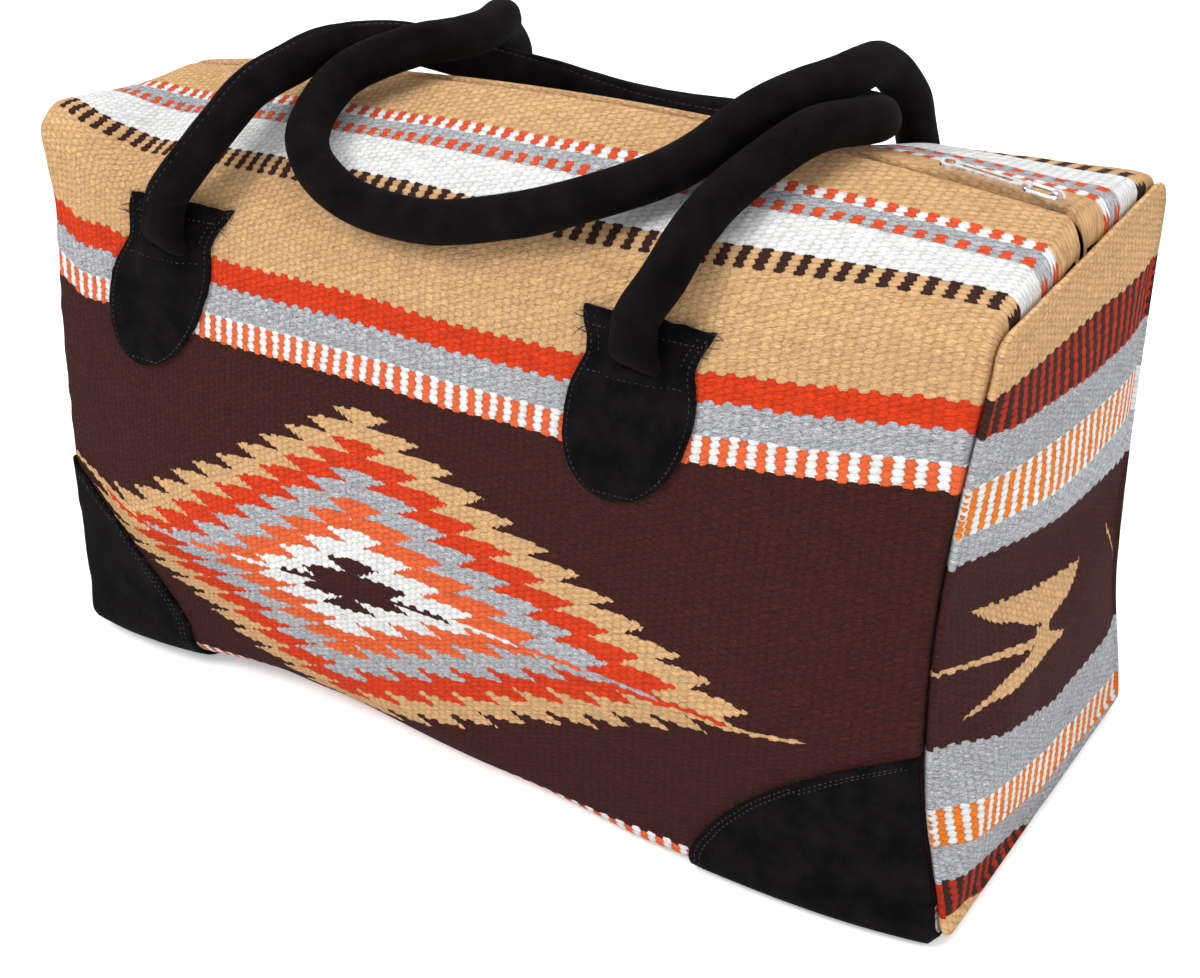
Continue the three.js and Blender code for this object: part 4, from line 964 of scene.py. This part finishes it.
def strap_places(name):
    """Middle, half width and half thickness of a handle's sewn end, from under the shield to the roll."""
    side, x0, slot, _, lean = SHIELDS[name]
    cloth = SIDES[side]
    flat = STRAP_THICKNESS / 2
    under = PATCH_CLEARANCE + flat
    rows = [
        (STRAP_LENGTH, under, 11, 1.0), (12, under, 11, flat), (3, under + 0.4, 11.5, 1.4),
        (0.5, under + 1, 12, 2.0), (-2.5, 5.2, 12.6, 4.2), (-6.5, 8.6, 12.2, 6.0),
        (-12, 11.4, 11.2, 7.4), (-18, ROOT_LIFT, 10.7, 8.6),
    ]
    points = np.array([cloth.at(x0 + lean * d, slot + d, lift) for d, lift, _, _ in rows])
    return points, np.array([r[2] for r in rows]), np.array([r[3] for r in rows])


def rolled_handle(title, route, left, right, rings=300, sides=40):
    """One suede handle: both sewn ends and the roll between them as a single skin with a sewn seam line."""
    a, a_half, a_thick = strap_places(left)
    b, b_half, b_thick = strap_places(right)
    points = np.concatenate([a, route, b[::-1]])
    half = np.concatenate([a_half, np.full(len(route), HANDLE_RADIUS), b_half[::-1]])
    thick = np.concatenate([a_thick, np.full(len(route), HANDLE_RADIUS), b_thick[::-1]])
    centre = smooth_route(points, rings)
    share = np.linspace(0, 1, rings)
    steps = np.linalg.norm(np.diff(centre, axis=0), axis=1)
    length = np.r_[0, np.cumsum(steps)]
    knots = np.array([share[np.argmin(np.linalg.norm(centre - p, axis=1))] for p in points])
    knots = np.maximum.accumulate(knots + np.arange(len(knots)) * 1e-9)
    wide, deep = np.interp(share, knots, half), np.interp(share, knots, thick)
    along = np.gradient(centre, axis=0)
    along /= np.linalg.norm(along, axis=1)[:, None]

    def flat_frame(t):
        w = np.array([1.0, 0, 0]) - t * t[0]
        return w / np.linalg.norm(w)

    widths = [flat_frame(along[0])]
    for k in range(1, rings):
        w = widths[-1] - along[k] * (widths[-1] @ along[k])
        widths.append(w / np.linalg.norm(w))
    widths = np.array(widths)
    depths = np.cross(along, widths)
    goal = flat_frame(along[-1])
    twist = math.atan2(goal @ depths[-1], goal @ widths[-1])
    angle = twist * ramp(0.12, 0.88, share)[:, None]
    turned = widths * np.cos(angle) + depths * np.sin(angle)
    depths = np.cross(along, turned)
    around = np.linspace(0, 2 * np.pi, sides, endpoint=False)
    seam_at = -0.62 * math.pi
    off = np.angle(np.exp(1j * (around - seam_at)))
    roll = ramp(0.25, 1, deep / HANDLE_RADIUS)[:, None]
    groove = -0.75 * bump(off, 0.13)[None, :] + 0.3 * bump(np.abs(off) - 0.3, 0.14)[None, :]
    run, turn = length[:, None], around[None, :]
    slack = 0.28 * noise2(run / 17, turn * 1.6, 80) + 0.12 * noise2(run / 6, turn * 3, 83)
    size = 1 + (groove * roll + slack * roll - 0.15 * roll) / HANDLE_RADIUS
    c, s = np.cos(turn), np.sin(turn)
    flatness = mix(0.62, 1.0, roll)
    c = np.sign(c) * np.abs(c) ** flatness
    s = np.sign(s) * np.abs(s) ** flatness
    grid = (centre[:, None] + turned[:, None] * (wide[:, None] * c * size)[..., None]
            + depths[:, None] * (deep[:, None] * s * size)[..., None])
    vertices = np.concatenate([grid.reshape(-1, 3), centre[:1], centre[-1:]])
    n = len(vertices)
    last = (rings - 1) * sides
    faces = grid_faces(rings, sides, True).tolist()
    faces += [[j, (j + 1) % sides, n - 2] for j in range(sides)]
    faces += [[last + (j + 1) % sides, last + j, n - 1] for j in range(sides)]
    arc = np.linspace(0, 2 * np.pi * HANDLE_RADIUS, sides, endpoint=False)
    mirrored = np.minimum(arc, 2 * np.pi * HANDLE_RADIUS - arc)
    shape = grid.shape[:2]
    uv = np.stack([np.broadcast_to(run, shape), np.broadcast_to(mirrored, shape)], -1)
    uv = np.concatenate([uv.reshape(-1, 2), [[0, 0], [length[-1], 0]]])
    piece = new_piece(title, vertices, faces, HANDLE_SUEDE, body=None, uv=uv, slot="suede")
    seam = Beads()
    for d in np.arange(10, length[-1] - 10, SEAM_PITCH):
        at = np.array([np.interp(d, length, centre[:, k]) for k in range(3)])
        k = int(np.clip(np.searchsorted(length, d), 1, rings - 2))
        radial = turned[k] * math.cos(seam_at) + depths[k] * math.sin(seam_at)
        if deep[k] > 9:
            seam.add(at + radial * (HANDLE_RADIUS - 0.85), along[k], radial, *SEAM_STITCH)
    return piece, seam


def handles():
    def roll_root(name):
        side, x0, slot, _, lean = SHIELDS[name]
        lift = HANDLE_RADIUS + SUEDE + 2 * PATCH_CLEARANCE
        return SIDES[side].plain(x0 - lean * (SHIELD_TO_SLOT + 1), slot - SHIELD_TO_SLOT - 1, lift)

    front = np.concatenate([[roll_root("front_left")], FRONT_ROUTE, [roll_root("front_right")]])
    piece, seam = rolled_handle("front_handle_suede", front, "front_left", "front_right")
    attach(piece, "bag")
    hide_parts("front_handle", "front_handle_end_left", "front_handle_end_right")
    seam.piece("front_handle_seam", BLACK_THREAD, slot="suede")
    piece, seam = rolled_handle("back_handle_suede", np.array(BACK_ROUTE, float), "back_left", "back_right")
    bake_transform(piece)
    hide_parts("back_handle", "back_handle_end_left", "back_handle_end_right")
    seam.piece("back_handle_seam", BLACK_THREAD, body="back_handle", slot="suede")


# Zip

def paint(node, surface):
    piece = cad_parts[node]
    piece.data.materials.clear()
    piece.data.materials.append(surface)


def zip_parts():
    for side in ("front", "back"):
        paint("zip_tape_" + side, TAPE)
        paint("zip_teeth_" + side, METAL)
    for node in ("zip_stop_left", "zip_stop_right", "zip_slider", "zip_pull_bail", "zip_pull_bar"):
        paint(node, METAL)


# Floor, light and camera

def aim(name, data, at, target):
    """Puts a lamp or the camera at a place in metres and turns it to its target."""
    piece = bpy.data.objects.new(name, data)
    bpy.context.scene.collection.objects.link(piece)
    piece.location = at
    piece.rotation_euler = (Vector(target) - Vector(at)).to_track_quat("-Z", "Y").to_euler()
    return piece


def studio():
    floor = new_piece("floor", [(-4000, -4000, 0), (4000, -4000, 0), (4000, 4000, 0), (-4000, 4000, 0)],
                      [(0, 1, 2, 3)], floor_surface(), body=None)
    world = bpy.data.worlds.new("studio")
    bpy.context.scene.world = world
    world.use_nodes = True
    tree = world.node_tree
    back = tree.nodes["Background"]
    back.inputs["Color"].default_value = WORLD_COLOUR
    back.inputs["Strength"].default_value = WORLD_STRENGTH
    white = tree.nodes.new("ShaderNodeBackground")
    white.inputs["Color"].default_value = (1, 1, 1, 1)
    white.inputs["Strength"].default_value = 1.0
    path = tree.nodes.new("ShaderNodeLightPath")
    seen = Num(tree, path.outputs["Is Camera Ray"]).high(Num(tree, path.outputs["Is Glossy Ray"]))
    seen = seen.high(Num(tree, path.outputs["Is Transmission Ray"]))
    pick = tree.nodes.new("ShaderNodeMixShader")
    tree.links.new(seen.socket, pick.inputs[0])
    tree.links.new(back.outputs[0], pick.inputs[1])
    tree.links.new(white.outputs[0], pick.inputs[2])
    tree.links.new(pick.outputs[0], tree.nodes["World Output"].inputs["Surface"])
    for name, at, target, size, power in LAMPS:
        data = bpy.data.lights.new(name, "AREA")
        data.shape = "DISK"
        data.size = size
        data.energy = power
        aim(name, data, at, target)


def floor_surface():
    s = Surface("studio_floor", roughness=0.95, specular=0.05)
    x, y, _ = s.place()
    grain = s.noise((x / 40, y / 40, 0.0), 2.0)
    colour = s.blend(grain, (250, 250, 250), (252, 252, 252))
    s.shader.inputs["Emission Color"].default_value = (1, 1, 1, 1)
    seen = Num(s.tree, s.node("LightPath").outputs["Is Camera Ray"])
    feed(s.tree, seen * FLOOR_GLOW, s.shader.inputs["Emission Strength"])
    return s.finish(colour)


def camera():
    data = bpy.data.cameras.new("camera")
    data.lens = CAMERA_LENS
    data.sensor_width = 36
    data.clip_end = 20
    bpy.context.scene.camera = aim("camera", data, CAMERA_AT, CAMERA_TARGET)
    bpy.context.scene.view_settings.view_transform = "Standard"


camera()
studio()
body_shell()
end_face(1)
end_face(-1)
stitches, threads = Beads(), Threads()
for end in (-1, 1):
    for side in (FRONT, BACK):
        corner_patch(end, side, stitches, threads)
for name in SHIELDS:
    handle_shield(name, stitches, threads)
stitches.piece("patch_stitching", STITCH, slot="suede")
threads.piece("patch_fringe", BLACK_THREAD, slot="suede")
handles()
zip_parts()
